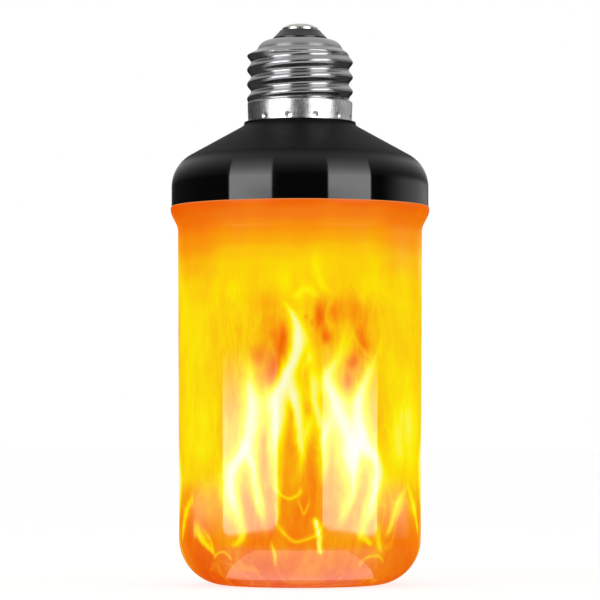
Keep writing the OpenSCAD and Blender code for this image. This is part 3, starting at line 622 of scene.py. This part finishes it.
def makeCollar():
    c = collar
    centreX, centreZ = c["radius"] - c["shoulderRound"], c["foot"] + c["bandHeight"]
    outline = [(c["radius"], c["foot"]), (c["radius"], c["foot"] + c["bandHeight"] * 0.5)]
    outline += arcPoints(centreX, centreZ, c["shoulderRound"], 0, c["coneTilt"], 26)
    # a soft hollow where the cone runs up to the lip
    coneEnd = outline[-1]
    tilt = math.radians(c["coneTilt"])
    run = (-math.sin(tilt), math.cos(tilt))
    length = (coneEnd[0] - c["lipRadius"]) / math.sin(tilt)
    straight = length - c["coneFillet"]
    outline += [(coneEnd[0] + run[0] * straight * s, coneEnd[1] + run[1] * straight * s) for s in (0.33, 0.66, 1)]
    footX, footZ = c["lipRadius"], c["lipZ"]
    fromX, fromZ = outline[-1]
    outline += [((1 - t) ** 2 * fromX + 2 * t * (1 - t) * footX + t * t * footX,
                 (1 - t) ** 2 * fromZ + 2 * t * (1 - t) * footZ + t * t * (footZ + 0.35)) for t in (0.2, 0.4, 0.6, 0.8, 1)]
    outline += arcPoints(c["lipRadius"] - c["lipRound"], c["lipTop"] - c["lipRound"], c["lipRound"], 0, 90, 5)
    outline += [(c["neckRadius"], c["lipTop"]), (c["neckRadius"], c["neckTop"]), (c["neckBore"], c["neckTop"])]
    innerRadius = c["shoulderRound"] - c["wall"]
    innerArc = arcPoints(centreX, centreZ, innerRadius, c["coneTilt"], 0, 12)
    slope = math.cos(tilt) / math.sin(tilt)
    outline += [(c["neckBore"], innerArc[0][1] + (innerArc[0][0] - c["neckBore"]) * slope)]
    outline += innerArc + [(c["radius"] - c["wall"], c["foot"]), (c["radius"], c["foot"])]
    piece = turnOutline("glossCollar", outline, c["sides"])

    # the slot in the neck that the lead runs down
    bpy.ops.object.select_all(action="DESELECT")
    slotWide = 3
    bpy.ops.mesh.primitive_cube_add(size=1, location=(-(c["slotFrom"] + slotWide / 2) * mm, 0, (c["slotFoot"] + 2) * mm))
    cutter = bpy.context.object
    bpy.ops.transform.resize(value=(slotWide * mm, c["slotWidth"] * mm, 4 * mm))
    bpy.ops.object.transform_apply(location=True, rotation=True, scale=True)
    cut = piece.modifiers.new("slot", "BOOLEAN")
    cut.operation = "DIFFERENCE"
    cut.solver = "EXACT"
    cut.object = cutter
    applyAll(piece)
    bpy.data.objects.remove(cutter)

    # ribs that press on the driver board
    reach = c["radius"] - c["wall"] + 0.6 - c["ribInner"]
    ribs = []
    for i in range(c["ribCount"]):
        turn = math.radians(180 / c["ribCount"] + i * 360 / c["ribCount"])
        middle = c["ribInner"] + reach / 2
        bpy.ops.object.select_all(action="DESELECT")
        bpy.ops.mesh.primitive_cube_add(size=1, location=(middle * math.cos(turn) * mm, middle * math.sin(turn) * mm,
                                                          (c["ribFoot"] + 1.9) * mm), rotation=(0, 0, turn))
        rib = bpy.context.object
        rib.scale = (reach * mm, c["ribWidth"] * mm, 3.8 * mm)
        bpy.ops.object.transform_apply(location=True, rotation=True, scale=True)
        bpy.ops.object.mode_set(mode="EDIT")
        bpy.ops.mesh.select_all(action="SELECT")
        bpy.ops.mesh.bevel(offset=0.2 * mm, segments=2)
        bpy.ops.object.mode_set(mode="OBJECT")
        ribs.append(rib)
    bpy.ops.object.select_all(action="DESELECT")
    for rib in ribs:
        rib.select_set(True)
    piece.select_set(True)
    bpy.context.view_layer.objects.active = piece
    bpy.ops.object.join()
    finishPiece(piece, makeCollarMaterial(), "collar", 40)
    return piece


makeCollar()
print("collar made")


# ---- the screw shell
shell = {
    "crest": 13.1, "root": 12.1, "pitch": 3.63, "turns": 3.7, "foot": 113.924, "threadZ": 118.524,
    "skirt": 12.95, "skirtTaper": 0.14, "phase": 70, "fadeIn": 0.9, "fadeOut": 1.6, "wall": 0.45,
    "domeX": 7.2, "domeZ": 130.723, "domeRound": 3.6, "domeFrom": 20, "eye": 6.7,
    "stepsRound": 288, "stepsPitch": 16, "dentCount": 12, "dentFrom": 17, "dentSize": 1.4,
    "dentDepth": 0.3, "dentRise": 0.9,
}


def makeNickelMaterial():
    material, tree, shader = newMaterial("brushedNickel")
    place = objectPlace(tree)
    split = tree.nodes.new("ShaderNodeSeparateXYZ")
    tree.links.new(place, split.inputs[0])
    angle = calc(tree, "ARCTAN2", split.outputs[0], split.outputs[1])
    around = tree.nodes.new("ShaderNodeCombineXYZ")
    tree.links.new(calc(tree, "COSINE", angle), around.inputs[0])
    tree.links.new(calc(tree, "SINE", angle), around.inputs[1])
    tree.links.new(calc(tree, "MULTIPLY", split.outputs[2], 6), around.inputs[2])
    upright = noise(tree, around.outputs[0], 62, detail=3, roughness=0.75)      # draw lines up the skirt
    rolled = noise(tree, mapping(tree, place, scale=(40, 40, 5200)), 1, detail=2)  # roller marks round the thread
    stains = noise(tree, place, 160, detail=3)
    onSkirt = rangeOf(tree, split.outputs[2], 0.1182, 0.1192, 1, 0)
    lines = calc(tree, "ADD", calc(tree, "MULTIPLY", upright, calc(tree, "MULTIPLY_ADD", onSkirt, 0.7, 0.3)),
                 calc(tree, "MULTIPLY", rolled, 0.25))
    colour = ramp(tree, lines, [(0.38, (0.42, 0.42, 0.43, 1)), (0.58, (0.92, 0.92, 0.925, 1))])
    tree.links.new(colour, shader.inputs["Base Color"])
    shader.inputs["Metallic"].default_value = 1
    rough = calc(tree, "ADD", rangeOf(tree, lines, 0.34, 0.66, 0.2, 0.3), rangeOf(tree, stains, 0.4, 0.7, 0, 0.02))
    tree.links.new(rough, shader.inputs["Roughness"])
    bump = tree.nodes.new("ShaderNodeBump")
    bump.inputs["Strength"].default_value = 0.3
    bump.inputs["Distance"].default_value = 0.02 * mm
    tree.links.new(lines, bump.inputs["Height"])
    tree.links.new(bump.outputs["Normal"], shader.inputs["Normal"])
    return material


def selectRing(piece, height):
    # selects the shell's open edge near that height
    bpy.ops.object.mode_set(mode="EDIT")
    bpy.ops.mesh.select_mode(type="EDGE")
    bpy.ops.mesh.select_all(action="DESELECT")
    bpy.ops.object.mode_set(mode="OBJECT")
    faces = {}
    for face in piece.data.polygons:
        for key in face.edge_keys:
            faces[key] = faces.get(key, 0) + 1
    for edge in piece.data.edges:
        ends = [piece.data.vertices[i] for i in edge.vertices]
        near = all(abs(end.co.z - height * mm) < 0.05 * mm for end in ends)
        if near and faces.get(edge.key) == 1:
            edge.select = True
            for end in ends:
                end.select = True
    bpy.ops.object.mode_set(mode="EDIT")


def pullRing(fromX, toX, drop):
    # extrudes the selected ring up or down and closes or opens it
    bpy.ops.mesh.extrude_region_move(TRANSFORM_OT_translate={"value": (0, 0, drop * mm)})
    share = toX / fromX
    bpy.ops.transform.resize(value=(share, share, 1), center_override=(0, 0, 0))


def makeShell():
    s = shell
    mid, half = (s["crest"] + s["root"]) / 2, (s["crest"] - s["root"]) / 2
    start = s["threadZ"] - s["pitch"]
    bpy.ops.object.select_all(action="DESELECT")
    bpy.ops.mesh.primitive_plane_add(size=mm, location=(0, 0, 0))
    piece = bpy.context.object
    piece.name = "screwShell"
    bpy.ops.object.mode_set(mode="EDIT")
    bpy.ops.mesh.select_mode(type="VERT")
    bpy.ops.mesh.select_all(action="SELECT")
    bpy.ops.mesh.merge(type="CENTER")
    here = (0, 0)
    for i in range(s["stepsPitch"] + 1):
        z = start + s["pitch"] * i / s["stepsPitch"]
        wave = math.cos(2 * math.pi * (z - s["threadZ"]) / s["pitch"] + math.radians(s["phase"]))
        there = (mid + half * wave, z)
        step = ((there[0] - here[0]) * mm, 0, (there[1] - here[1]) * mm)
        if i == 0:
            bpy.ops.transform.translate(value=step)
        else:
            bpy.ops.mesh.extrude_region_move(TRANSFORM_OT_translate={"value": step})
        here = there
    bpy.ops.object.mode_set(mode="OBJECT")
    coil = piece.modifiers.new("coil", "SCREW")
    coil.axis = "Z"
    coil.screw_offset = s["pitch"] * mm
    coil.iterations = 5
    coil.steps = coil.render_steps = s["stepsRound"]
    coil.use_merge_vertices = False
    applyAll(piece)
    top = s["threadZ"] + s["turns"] * s["pitch"]
    bpy.ops.object.mode_set(mode="EDIT")
    tidyMesh()
    bpy.ops.mesh.select_all(action="SELECT")
    bpy.ops.mesh.bisect(plane_co=(0, 0, s["threadZ"] * mm), plane_no=(0, 0, 1), clear_inner=True, threshold=1e-7)
    bpy.ops.mesh.select_all(action="SELECT")
    bpy.ops.mesh.bisect(plane_co=(0, 0, top * mm), plane_no=(0, 0, 1), clear_outer=True, threshold=1e-7)
    bpy.ops.mesh.select_all(action="SELECT")
    bpy.ops.mesh.remove_doubles(threshold=0.002 * mm)
    bpy.ops.object.mode_set(mode="OBJECT")

    # the thread rises out of the skirt and runs out into the rounded end
    for vertex in piece.data.vertices:
        x, y, z = (v / mm for v in vertex.co)
        radius = math.hypot(x, y)
        rise = max(z - s["domeZ"], 0)
        domeHere = s["domeX"] + math.sqrt(max(s["domeRound"] ** 2 - rise * rise, 0))
        rolled = domeHere + (radius - domeHere) * smoothStep((top - z) / s["fadeOut"])
        wanted = s["skirt"] + (rolled - s["skirt"]) * smoothStep((z - s["threadZ"]) / s["fadeIn"])
        vertex.co.x *= wanted / radius
        vertex.co.y *= wanted / radius

    # skirt, pulled down in rows close enough for the punched dents
    selectRing(piece, s["threadZ"])
    height = s["threadZ"] - s["foot"]
    rows = 22
    last = s["skirt"]
    for i in range(1, rows + 1):
        wanted = s["skirt"] - s["skirtTaper"] * smoothStep(i / rows)
        pullRing(last, wanted, -height / rows)
        last = wanted
    # rounded end and the eye's edge
    selectRing(piece, top)
    angles = [s["domeFrom"] + (90 - s["domeFrom"]) * i / 14 for i in range(15)]
    heights = [top] + [s["domeZ"] + s["domeRound"] * math.sin(math.radians(a)) for a in angles[1:]]
    radii = [s["domeX"] + s["domeRound"] * math.cos(math.radians(a)) for a in angles]
    for i in range(1, 15):
        pullRing(radii[i - 1], radii[i], heights[i] - heights[i - 1])
    pullRing(radii[-1], s["eye"], 0)
    bpy.ops.mesh.select_all(action="SELECT")
    bpy.ops.mesh.normals_make_consistent(inside=False)
    bpy.ops.object.mode_set(mode="OBJECT")

    # punched dents that hold the shell on the neck
    dentZ = s["foot"] + s["dentRise"]
    for vertex in piece.data.vertices:
        x, y, z = (v / mm for v in vertex.co)
        if z > s["threadZ"] - 0.5:
            continue
        angle = math.degrees(math.atan2(y, x)) - s["dentFrom"]
        pitch = 360 / s["dentCount"]
        off = angle - pitch * round(angle / pitch)
        distance = math.hypot(math.radians(off) * s["skirt"], z - dentZ) / (s["dentSize"] / 2)
        if distance < 1:
            radius = math.hypot(x, y)
            share = (radius - s["dentDepth"] * (1 - distance ** 2)) / radius
            vertex.co.x *= share
            vertex.co.y *= share
    wall = piece.modifiers.new("wall", "SOLIDIFY")
    wall.thickness = s["wall"] * mm
    wall.offset = -1
    applyAll(piece)
    finishPiece(piece, makeNickelMaterial(), "screw_shell", 50)
    return piece


makeShell()
print("screw shell made")


# ---- the insulator and the contact
contact = {
    "plugRadius": 6.65, "shellTop": 134.323, "insulatorTop": 136.723, "contactRadius": 4.4,
    "flatRadius": 2.2, "height": 1.5, "shank": 1.1, "shankFoot": 129.323, "plugFoot": 130.523,
    "seatRound": 3.1, "domeX": 7.2, "domeZ": 130.723, "sides": 120,
}


def makeInsulator():
    c = contact
    hole = c["shank"] + 0.05
    outline = [(hole, c["plugFoot"]), (c["domeX"] + c["seatRound"], c["plugFoot"])]
    outline += arcPoints(c["domeX"], c["domeZ"], c["seatRound"], 0, 84, 12)
    outline += [(c["plugRadius"], c["shellTop"] - 0.5), (c["plugRadius"], c["shellTop"] + 0.45)]
    outline += arcPoints(c["plugRadius"] - 0.15, c["shellTop"] + 0.45, 0.15, 0, 60, 3)
    outline += [(5.75, 135.75), (5.1, 136.45)] + arcPoints(4.75, 136.423, 0.3, 30, 90, 3)
    outline += [(hole, c["insulatorTop"]), (hole, c["plugFoot"])]
    piece = turnOutline("insulatorPlug", outline, c["sides"])
    material = grainMaterial("darkInsulator", (0.03, 0.03, 0.035, 1), scale=700, tint=0.5, smooth=0.18, rough=0.3)
    finishPiece(piece, material, "insulator", 30)


def makeContact():
    c = contact
    foot, top = c["insulatorTop"], c["insulatorTop"] + c["height"]
    outline = [(0, c["shankFoot"]), (c["shank"], c["shankFoot"]), (c["shank"], foot), (c["contactRadius"], foot)]
    outline += arcPoints(c["contactRadius"] - 0.35, foot + 0.35, 0.35, 0, 60, 4)
    outline += [(3.55, foot + 0.98), (2.95, foot + 1.28), (c["flatRadius"], top - 0.06), (1.5, top), (0, top)]
    piece = turnOutline("contactRivet", outline, c["sides"])
    material = grainMaterial("tinnedContact", (0.72, 0.7, 0.66, 1), scale=420, tint=0.45, smooth=0.16, rough=0.34,
                             metal=1, bump=0.03)
    finishPiece(piece, material, "centre_contact", 30)


makeInsulator()
makeContact()
print("insulator and contact made")


# ---- the parts inside keep their shape and get their finishes
def cylinderPlace(tree):
    split = tree.nodes.new("ShaderNodeSeparateXYZ")
    tree.links.new(objectPlace(tree), split.inputs[0])
    angle = calc(tree, "ARCTAN2", split.outputs[0], split.outputs[1])
    return angle, split.outputs[2]


def boardTracks(tree):
    # broad copper runs under green mask
    place = objectPlace(tree)
    cells = tree.nodes.new("ShaderNodeTexVoronoi")
    cells.feature = "DISTANCE_TO_EDGE"
    tree.links.new(mapping(tree, place, scale=(1, 1, 0)), cells.inputs["Vector"])
    cells.inputs["Scale"].default_value = 210
    gap = rangeOf(tree, cells.outputs["Distance"], 0.04, 0.09, 0, 1)
    return mixColour(tree, gap, (0.015, 0.11, 0.045, 1), (0.035, 0.26, 0.1, 1))


def flexTracks(tree):
    # thin runs between the rows of LEDs
    angle, height = cylinderPlace(tree)
    wave = calc(tree, "FRACT", calc(tree, "MULTIPLY", height, 1 / 0.00728))
    line = calc(tree, "ABSOLUTE", calc(tree, "SUBTRACT", wave, 0.5))
    return mixColour(tree, rangeOf(tree, line, 0.03, 0.06, 0.35, 0), (0.84, 0.84, 0.78, 1), (0.62, 0.58, 0.42, 1))


def sleeveStripe(tree):
    angle, height = cylinderPlace(tree)
    split = tree.nodes.new("ShaderNodeSeparateXYZ")
    tree.links.new(mapping(tree, objectPlace(tree), location=(-0.0042, -0.0042, 0)), split.inputs[0])
    turn = calc(tree, "ARCTAN2", split.outputs[1], split.outputs[0])
    side = calc(tree, "ABSOLUTE", calc(tree, "SUBTRACT", turn, 0.8))
    return mixColour(tree, rangeOf(tree, side, 0.3, 0.34, 1, 0), (0.03, 0.03, 0.045, 1), (0.4, 0.42, 0.46, 1))


def windingTurns(tree):
    angle, height = cylinderPlace(tree)
    wave = calc(tree, "SINE", calc(tree, "MULTIPLY", height, 2 * math.pi / 0.0004))
    wound = calc(tree, "MULTIPLY", rangeOf(tree, height, 0.0996, 0.0997, 0, 1), rangeOf(tree, height, 0.1040, 0.1041, 1, 0))
    copper = mixColour(tree, rangeOf(tree, wave, -1, 1, 0, 1), (0.30, 0.09, 0.03, 1), (0.62, 0.24, 0.08, 1))
    return mixColour(tree, wound, (0.07, 0.06, 0.055, 1), copper)


def phosphorFace(tree):
    place = objectPlace(tree)
    patches = noise(tree, place, 900, detail=2)
    return mixColour(tree, rangeOf(tree, patches, 0.4, 0.6, 0, 1), (0.86, 0.55, 0.08, 1), (0.95, 0.72, 0.2, 1))


innerFinishes = {
    "white_moulding": dict(colour=(0.8, 0.8, 0.77, 1), scale=900, tint=0.12, smooth=0.4, rough=0.6),
    "white_flex": dict(colour=None, scale=1200, tint=0.1, smooth=0.3, rough=0.45, pattern=flexTracks),
    "green_board": dict(colour=None, scale=1500, tint=0.2, smooth=0.2, rough=0.35, pattern=boardTracks),
    "capacitor_sleeve": dict(colour=None, scale=800, tint=0.15, smooth=0.2, rough=0.32, pattern=sleeveStripe),
    "capacitor_film": dict(colour=(0.42, 0.05, 0.03, 1), scale=500, tint=0.35, smooth=0.2, rough=0.36),
    "choke_core": dict(colour=None, scale=900, tint=0.2, smooth=0.35, rough=0.6, pattern=windingTurns),
    "resistor_coating": dict(colour=(0.35, 0.42, 0.32, 1), scale=1100, tint=0.35, smooth=0.5, rough=0.75),
    "chip_resin": dict(colour=(0.02, 0.02, 0.022, 1), scale=1800, tint=0.4, smooth=0.45, rough=0.65),
    "switch_can": dict(colour=(0.72, 0.56, 0.25, 1), scale=600, tint=0.25, smooth=0.18, rough=0.3, metal=1),
    "red_insulation": dict(colour=(0.45, 0.02, 0.02, 1), scale=900, tint=0.25, smooth=0.35, rough=0.5),
    "blue_insulation": dict(colour=(0.02, 0.07, 0.4, 1), scale=900, tint=0.25, smooth=0.35, rough=0.5),
    "led_phosphor": dict(colour=None, scale=1500, tint=0.15, smooth=0.25, rough=0.4, pattern=phosphorFace),
}


def dressInnerNodes():
    made = {}
    for part in frame["record"]["subparts"]:
        slot = part["material_slot"]
        if slot not in innerFinishes:
            continue
        if slot not in made:
            made[slot] = grainMaterial(slot.replace("_", " ").title().replace(" ", ""), **innerFinishes[slot])
        piece = nodes[part["node"]]
        for i in range(max(len(piece.material_slots), 1)):
            if len(piece.material_slots) <= i:
                piece.data.materials.append(made[slot])
            piece.material_slots[i].material = made[slot]


dressInnerNodes()
print("inner finishes set")


# ---- studio: floor, world, lamps and camera
studio = {
    "cameraHeight": 37.7, "cameraAway": 840, "aimHeight": 70, "lens": 204.5,
    "floorSize": 12, "floorGlow": 0.78, "floorTone": 0.28,
    "worldLight": 0.75, "bandLight": 4.6, "hazeLight": 1.1, "keyWatts": 0.9, "fillWatts": 0.4,
}


def makeFloor():
    bpy.ops.object.select_all(action="DESELECT")
    bpy.ops.mesh.primitive_grid_add(x_subdivisions=8, y_subdivisions=8, size=studio["floorSize"], location=(0, 0, 0))
    floor = bpy.context.object
    floor.name = "studioFloor"
    material = bpy.data.materials.new("paleFloor")
    material.use_nodes = True
    tree = material.node_tree
    tree.nodes.clear()
    output = tree.nodes.new("ShaderNodeOutputMaterial")
    both = tree.nodes.new("ShaderNodeAddShader")
    matt = tree.nodes.new("ShaderNodeBsdfDiffuse")
    glow = tree.nodes.new("ShaderNodeEmission")
    path = tree.nodes.new("ShaderNodeLightPath")
    speckle = noise(tree, objectPlace(tree), 40, detail=3)
    tone = studio["floorTone"]
    tree.links.new(ramp(tree, speckle, [(0.3, grey(tone * 0.97)), (0.7, grey(tone))]), matt.inputs["Color"])
    seen = calc(tree, "ADD", path.outputs["Is Camera Ray"], calc(
        tree, "ADD", path.outputs["Is Glossy Ray"], path.outputs["Is Transmission Ray"]), clamp=True)
    tree.links.new(calc(tree, "MULTIPLY", seen, studio["floorGlow"]), glow.inputs["Strength"])
    tree.links.new(matt.outputs[0], both.inputs[0])
    tree.links.new(glow.outputs[0], both.inputs[1])
    tree.links.new(both.outputs[0], output.inputs["Surface"])
    floor.data.materials.append(material)
    floor.visible_glossy = False
    return floor


footLight = {"height": 0.05, "steps": 40, "strength": 2.3, "edges": ((24, 52), (51, 32))}


def makeFootLight():
    # a curved card on the floor that shows only in the rounded corner round the head
    f = footLight
    arcs = []
    for radius, halfAngle in f["edges"]:
        bpy.ops.object.select_all(action="DESELECT")
        bpy.ops.mesh.primitive_plane_add(size=mm, location=(0, 0, 0))
        bpy.ops.object.mode_set(mode="EDIT")
        bpy.ops.mesh.select_mode(type="VERT")
        bpy.ops.mesh.select_all(action="SELECT")
        bpy.ops.mesh.merge(type="CENTER")
        start = math.radians(-90 + halfAngle)
        bpy.ops.transform.translate(value=(radius * mm * math.cos(start), radius * mm * math.sin(start), f["height"] * mm))
        bpy.ops.mesh.spin(steps=f["steps"], angle=math.radians(2 * halfAngle), center=(0, 0, 0), axis=(0, 0, 1))
        bpy.ops.object.mode_set(mode="OBJECT")
        arcs.append(bpy.context.object)
    card = arcs[0]
    for arc in arcs:
        arc.select_set(True)
    bpy.context.view_layer.objects.active = card
    bpy.ops.object.join()
    card.name = "footLightCard"
    bpy.ops.object.mode_set(mode="EDIT")
    bpy.ops.mesh.select_mode(type="EDGE")
    bpy.ops.mesh.select_all(action="SELECT")
    bpy.ops.mesh.bridge_edge_loops()
    bpy.ops.mesh.select_mode(type="VERT")
    bpy.ops.object.mode_set(mode="OBJECT")
    material = bpy.data.materials.new("footLightGlow")
    material.use_nodes = True
    tree = material.node_tree
    tree.nodes.clear()
    output = tree.nodes.new("ShaderNodeOutputMaterial")
    glow = tree.nodes.new("ShaderNodeEmission")
    glow.inputs["Strength"].default_value = f["strength"]
    tree.links.new(glow.outputs[0], output.inputs["Surface"])
    card.data.materials.append(material)
    card.visible_camera = card.visible_diffuse = card.visible_transmission = card.visible_shadow = False


def makeWorld():
    # white to the eye, plain light on matt surfaces, and tall soft windows in gloss
    world = bpy.data.worlds.new("studio")
    bpy.context.scene.world = world
    world.use_nodes = True
    tree = world.node_tree
    tree.nodes.clear()
    output = tree.nodes.new("ShaderNodeOutputWorld")
    coords = tree.nodes.new("ShaderNodeTexCoord").outputs["Generated"]
    path = tree.nodes.new("ShaderNodeLightPath")

    # the facing that a surface needs to mirror this part of the studio to the front
    facing = tree.nodes.new("ShaderNodeVectorMath")
    facing.operation = "SUBTRACT"
    tree.links.new(coords, facing.inputs[0])
    facing.inputs[1].default_value = (0, 1, 0)
    unit = tree.nodes.new("ShaderNodeVectorMath")
    unit.operation = "NORMALIZE"
    tree.links.new(facing.outputs[0], unit.inputs[0])
    split = tree.nodes.new("ShaderNodeSeparateXYZ")
    tree.links.new(unit.outputs[0], split.inputs[0])
    straight = tree.nodes.new("ShaderNodeSeparateXYZ")
    tree.links.new(coords, straight.inputs[0])
    toDegrees = 180 / math.pi
    turn = calc(tree, "MULTIPLY", calc(tree, "ARCTAN2", split.outputs[0], calc(tree, "MULTIPLY", split.outputs[1], -1)), toDegrees)
    tilt = calc(tree, "MULTIPLY", calc(tree, "ARCSINE", split.outputs[2]), toDegrees)
    rise = calc(tree, "MULTIPLY", calc(tree, "ARCSINE", straight.outputs[2]), toDegrees)
    aside = calc(tree, "ABSOLUTE", turn)

    def between(value, low, high, soft):
        return calc(tree, "MULTIPLY", rangeOf(tree, value, low - soft, low + soft, 0, 1),
                    rangeOf(tree, value, high - soft, high + soft, 1, 0))

    # upper windows: seen in the collar's shoulder and in the screw shell
    upperFade = ramp(tree, calc(tree, "DIVIDE", tilt, 90), [
        (0.0, grey(0)), (0.0193, grey(0)), (0.0207, grey(0.97)), (0.08, grey(0.97)), (0.142, grey(0.69)),
        (0.231, grey(0.37)), (0.325, grey(0.16)), (0.4, grey(0.04)), (0.46, grey(0))])
    upper = calc(tree, "MULTIPLY", between(aside, 12.5, 32.8, 0.35), upperFade)
    # lower windows: seen in the tube, drawn as they lie on it
    lowX = calc(tree, "MULTIPLY", calc(tree, "SINE", calc(tree, "MULTIPLY", aside, math.pi / 180)), 30.3)
    lowZ = calc(tree, "MULTIPLY_ADD", calc(tree, "TANGENT", calc(
        tree, "MULTIPLY", calc(tree, "ADD", rise, 0.6), math.pi / 180)), 812, 37.7)
    corner = 2.4
    insideX = calc(tree, "MAXIMUM", calc(tree, "SUBTRACT", calc(tree, "ABSOLUTE", calc(
        tree, "SUBTRACT", lowX, 12.3)), 6.75 - corner), 0)
    insideZ = calc(tree, "MAXIMUM", calc(tree, "SUBTRACT", 14.4 + corner, lowZ), 0)
    rounded = calc(tree, "SQRT", calc(tree, "ADD", calc(tree, "MULTIPLY", insideX, insideX), calc(
        tree, "MULTIPLY", insideZ, insideZ)))
    lower = calc(tree, "MULTIPLY", rangeOf(tree, rounded, corner - 0.15, corner + 0.15, 1.15, 0),
                 rangeOf(tree, lowZ, 36, 60, 1, 0))
    # the rest of the studio, from dark in front to grey above and behind
    high = ramp(tree, calc(tree, "DIVIDE", tilt, 90), [
        (0.1, grey(0)), (0.22, grey(0.16)), (0.32, grey(0.36)), (0.45, grey(0.62)), (1, grey(0.7))])
    above = calc(tree, "MULTIPLY", high, rangeOf(tree, aside, 50, 85, 1, 0.6))
    below = calc(tree, "MULTIPLY", rangeOf(tree, tilt, -4, -16, 0.0, 0.9), rangeOf(tree, aside, 30, 46, 1, 0.05))
    below = calc(tree, "MULTIPLY", below, rangeOf(tree, straight.outputs[1], 0.9, 0.8, 0, 1))
    sideLight = calc(tree, "MULTIPLY", rangeOf(tree, turn, 38, 56, 0, 0.6), rangeOf(tree, rise, 2.1, 2.7, 0, 1))
    sideLight = calc(tree, "MULTIPLY", sideLight, rangeOf(tree, tilt, 4, 16, 1, 0.1))
    # pale haze low on the tube's sides
    haze = calc(tree, "MULTIPLY", between(aside, 36, 62, 5), between(lowZ, 18, 27, 4))
    back = calc(tree, "ADD", calc(tree, "ADD", above, below), calc(tree, "ADD", sideLight, 0.03))
    back = calc(tree, "MULTIPLY_ADD", haze, studio["hazeLight"], back)
    windows = calc(tree, "MULTIPLY", calc(tree, "ADD", upper, lower), studio["bandLight"])
    mirrored = calc(tree, "ADD", windows, back)

    plain = tree.nodes.new("ShaderNodeBackground")
    plain.inputs["Color"].default_value = (1, 1, 1, 1)
    soft = calc(tree, "MULTIPLY_ADD", path.outputs["Is Camera Ray"], 1 - studio["worldLight"], studio["worldLight"])
    tree.links.new(calc(tree, "MAXIMUM", soft, path.outputs["Is Transmission Ray"]), plain.inputs["Strength"])
    gloss = tree.nodes.new("ShaderNodeBackground")
    gloss.inputs["Color"].default_value = (1, 1, 1, 1)
    tree.links.new(mirrored, gloss.inputs["Strength"])
    mix = tree.nodes.new("ShaderNodeMixShader")
    tree.links.new(path.outputs["Is Glossy Ray"], mix.inputs[0])
    tree.links.new(plain.outputs[0], mix.inputs[1])
    tree.links.new(gloss.outputs[0], mix.inputs[2])
    tree.links.new(mix.outputs[0], output.inputs["Surface"])


def makeLamp(name, place, size, watts):
    bpy.ops.object.light_add(type="AREA", location=place)
    lamp = bpy.context.object
    lamp.name = name
    lamp.data.size = size
    lamp.data.energy = watts
    lamp.rotation_euler = (Vector((0, 0, 0.06)) - Vector(place)).to_track_quat("-Z", "Y").to_euler()
    lamp.visible_glossy = False
    return lamp


def makeCamera():
    data = bpy.data.cameras.new("studioCamera")
    camera = bpy.data.objects.new("studioCamera", data)
    bpy.context.scene.collection.objects.link(camera)
    camera.location = (0, -studio["cameraAway"] * mm, studio["cameraHeight"] * mm)
    aim = Vector((0, 0, studio["aimHeight"] * mm)) - camera.location
    camera.rotation_euler = aim.to_track_quat("-Z", "Y").to_euler()
    data.sensor_width = 36
    data.lens = studio["lens"]
    data.clip_start, data.clip_end = 0.01, 50
    data.dof.use_dof = False
    bpy.context.scene.camera = camera


makeFloor()
makeFootLight()
makeWorld()
makeLamp("keyLamp", (-0.5, -0.45, 0.75), 0.5, studio["keyWatts"])
makeLamp("fillLamp", (0.6, -0.3, 0.5), 0.5, studio["fillWatts"])
makeCamera()
bpy.context.scene.view_settings.view_transform = "Standard"
print("studio set")
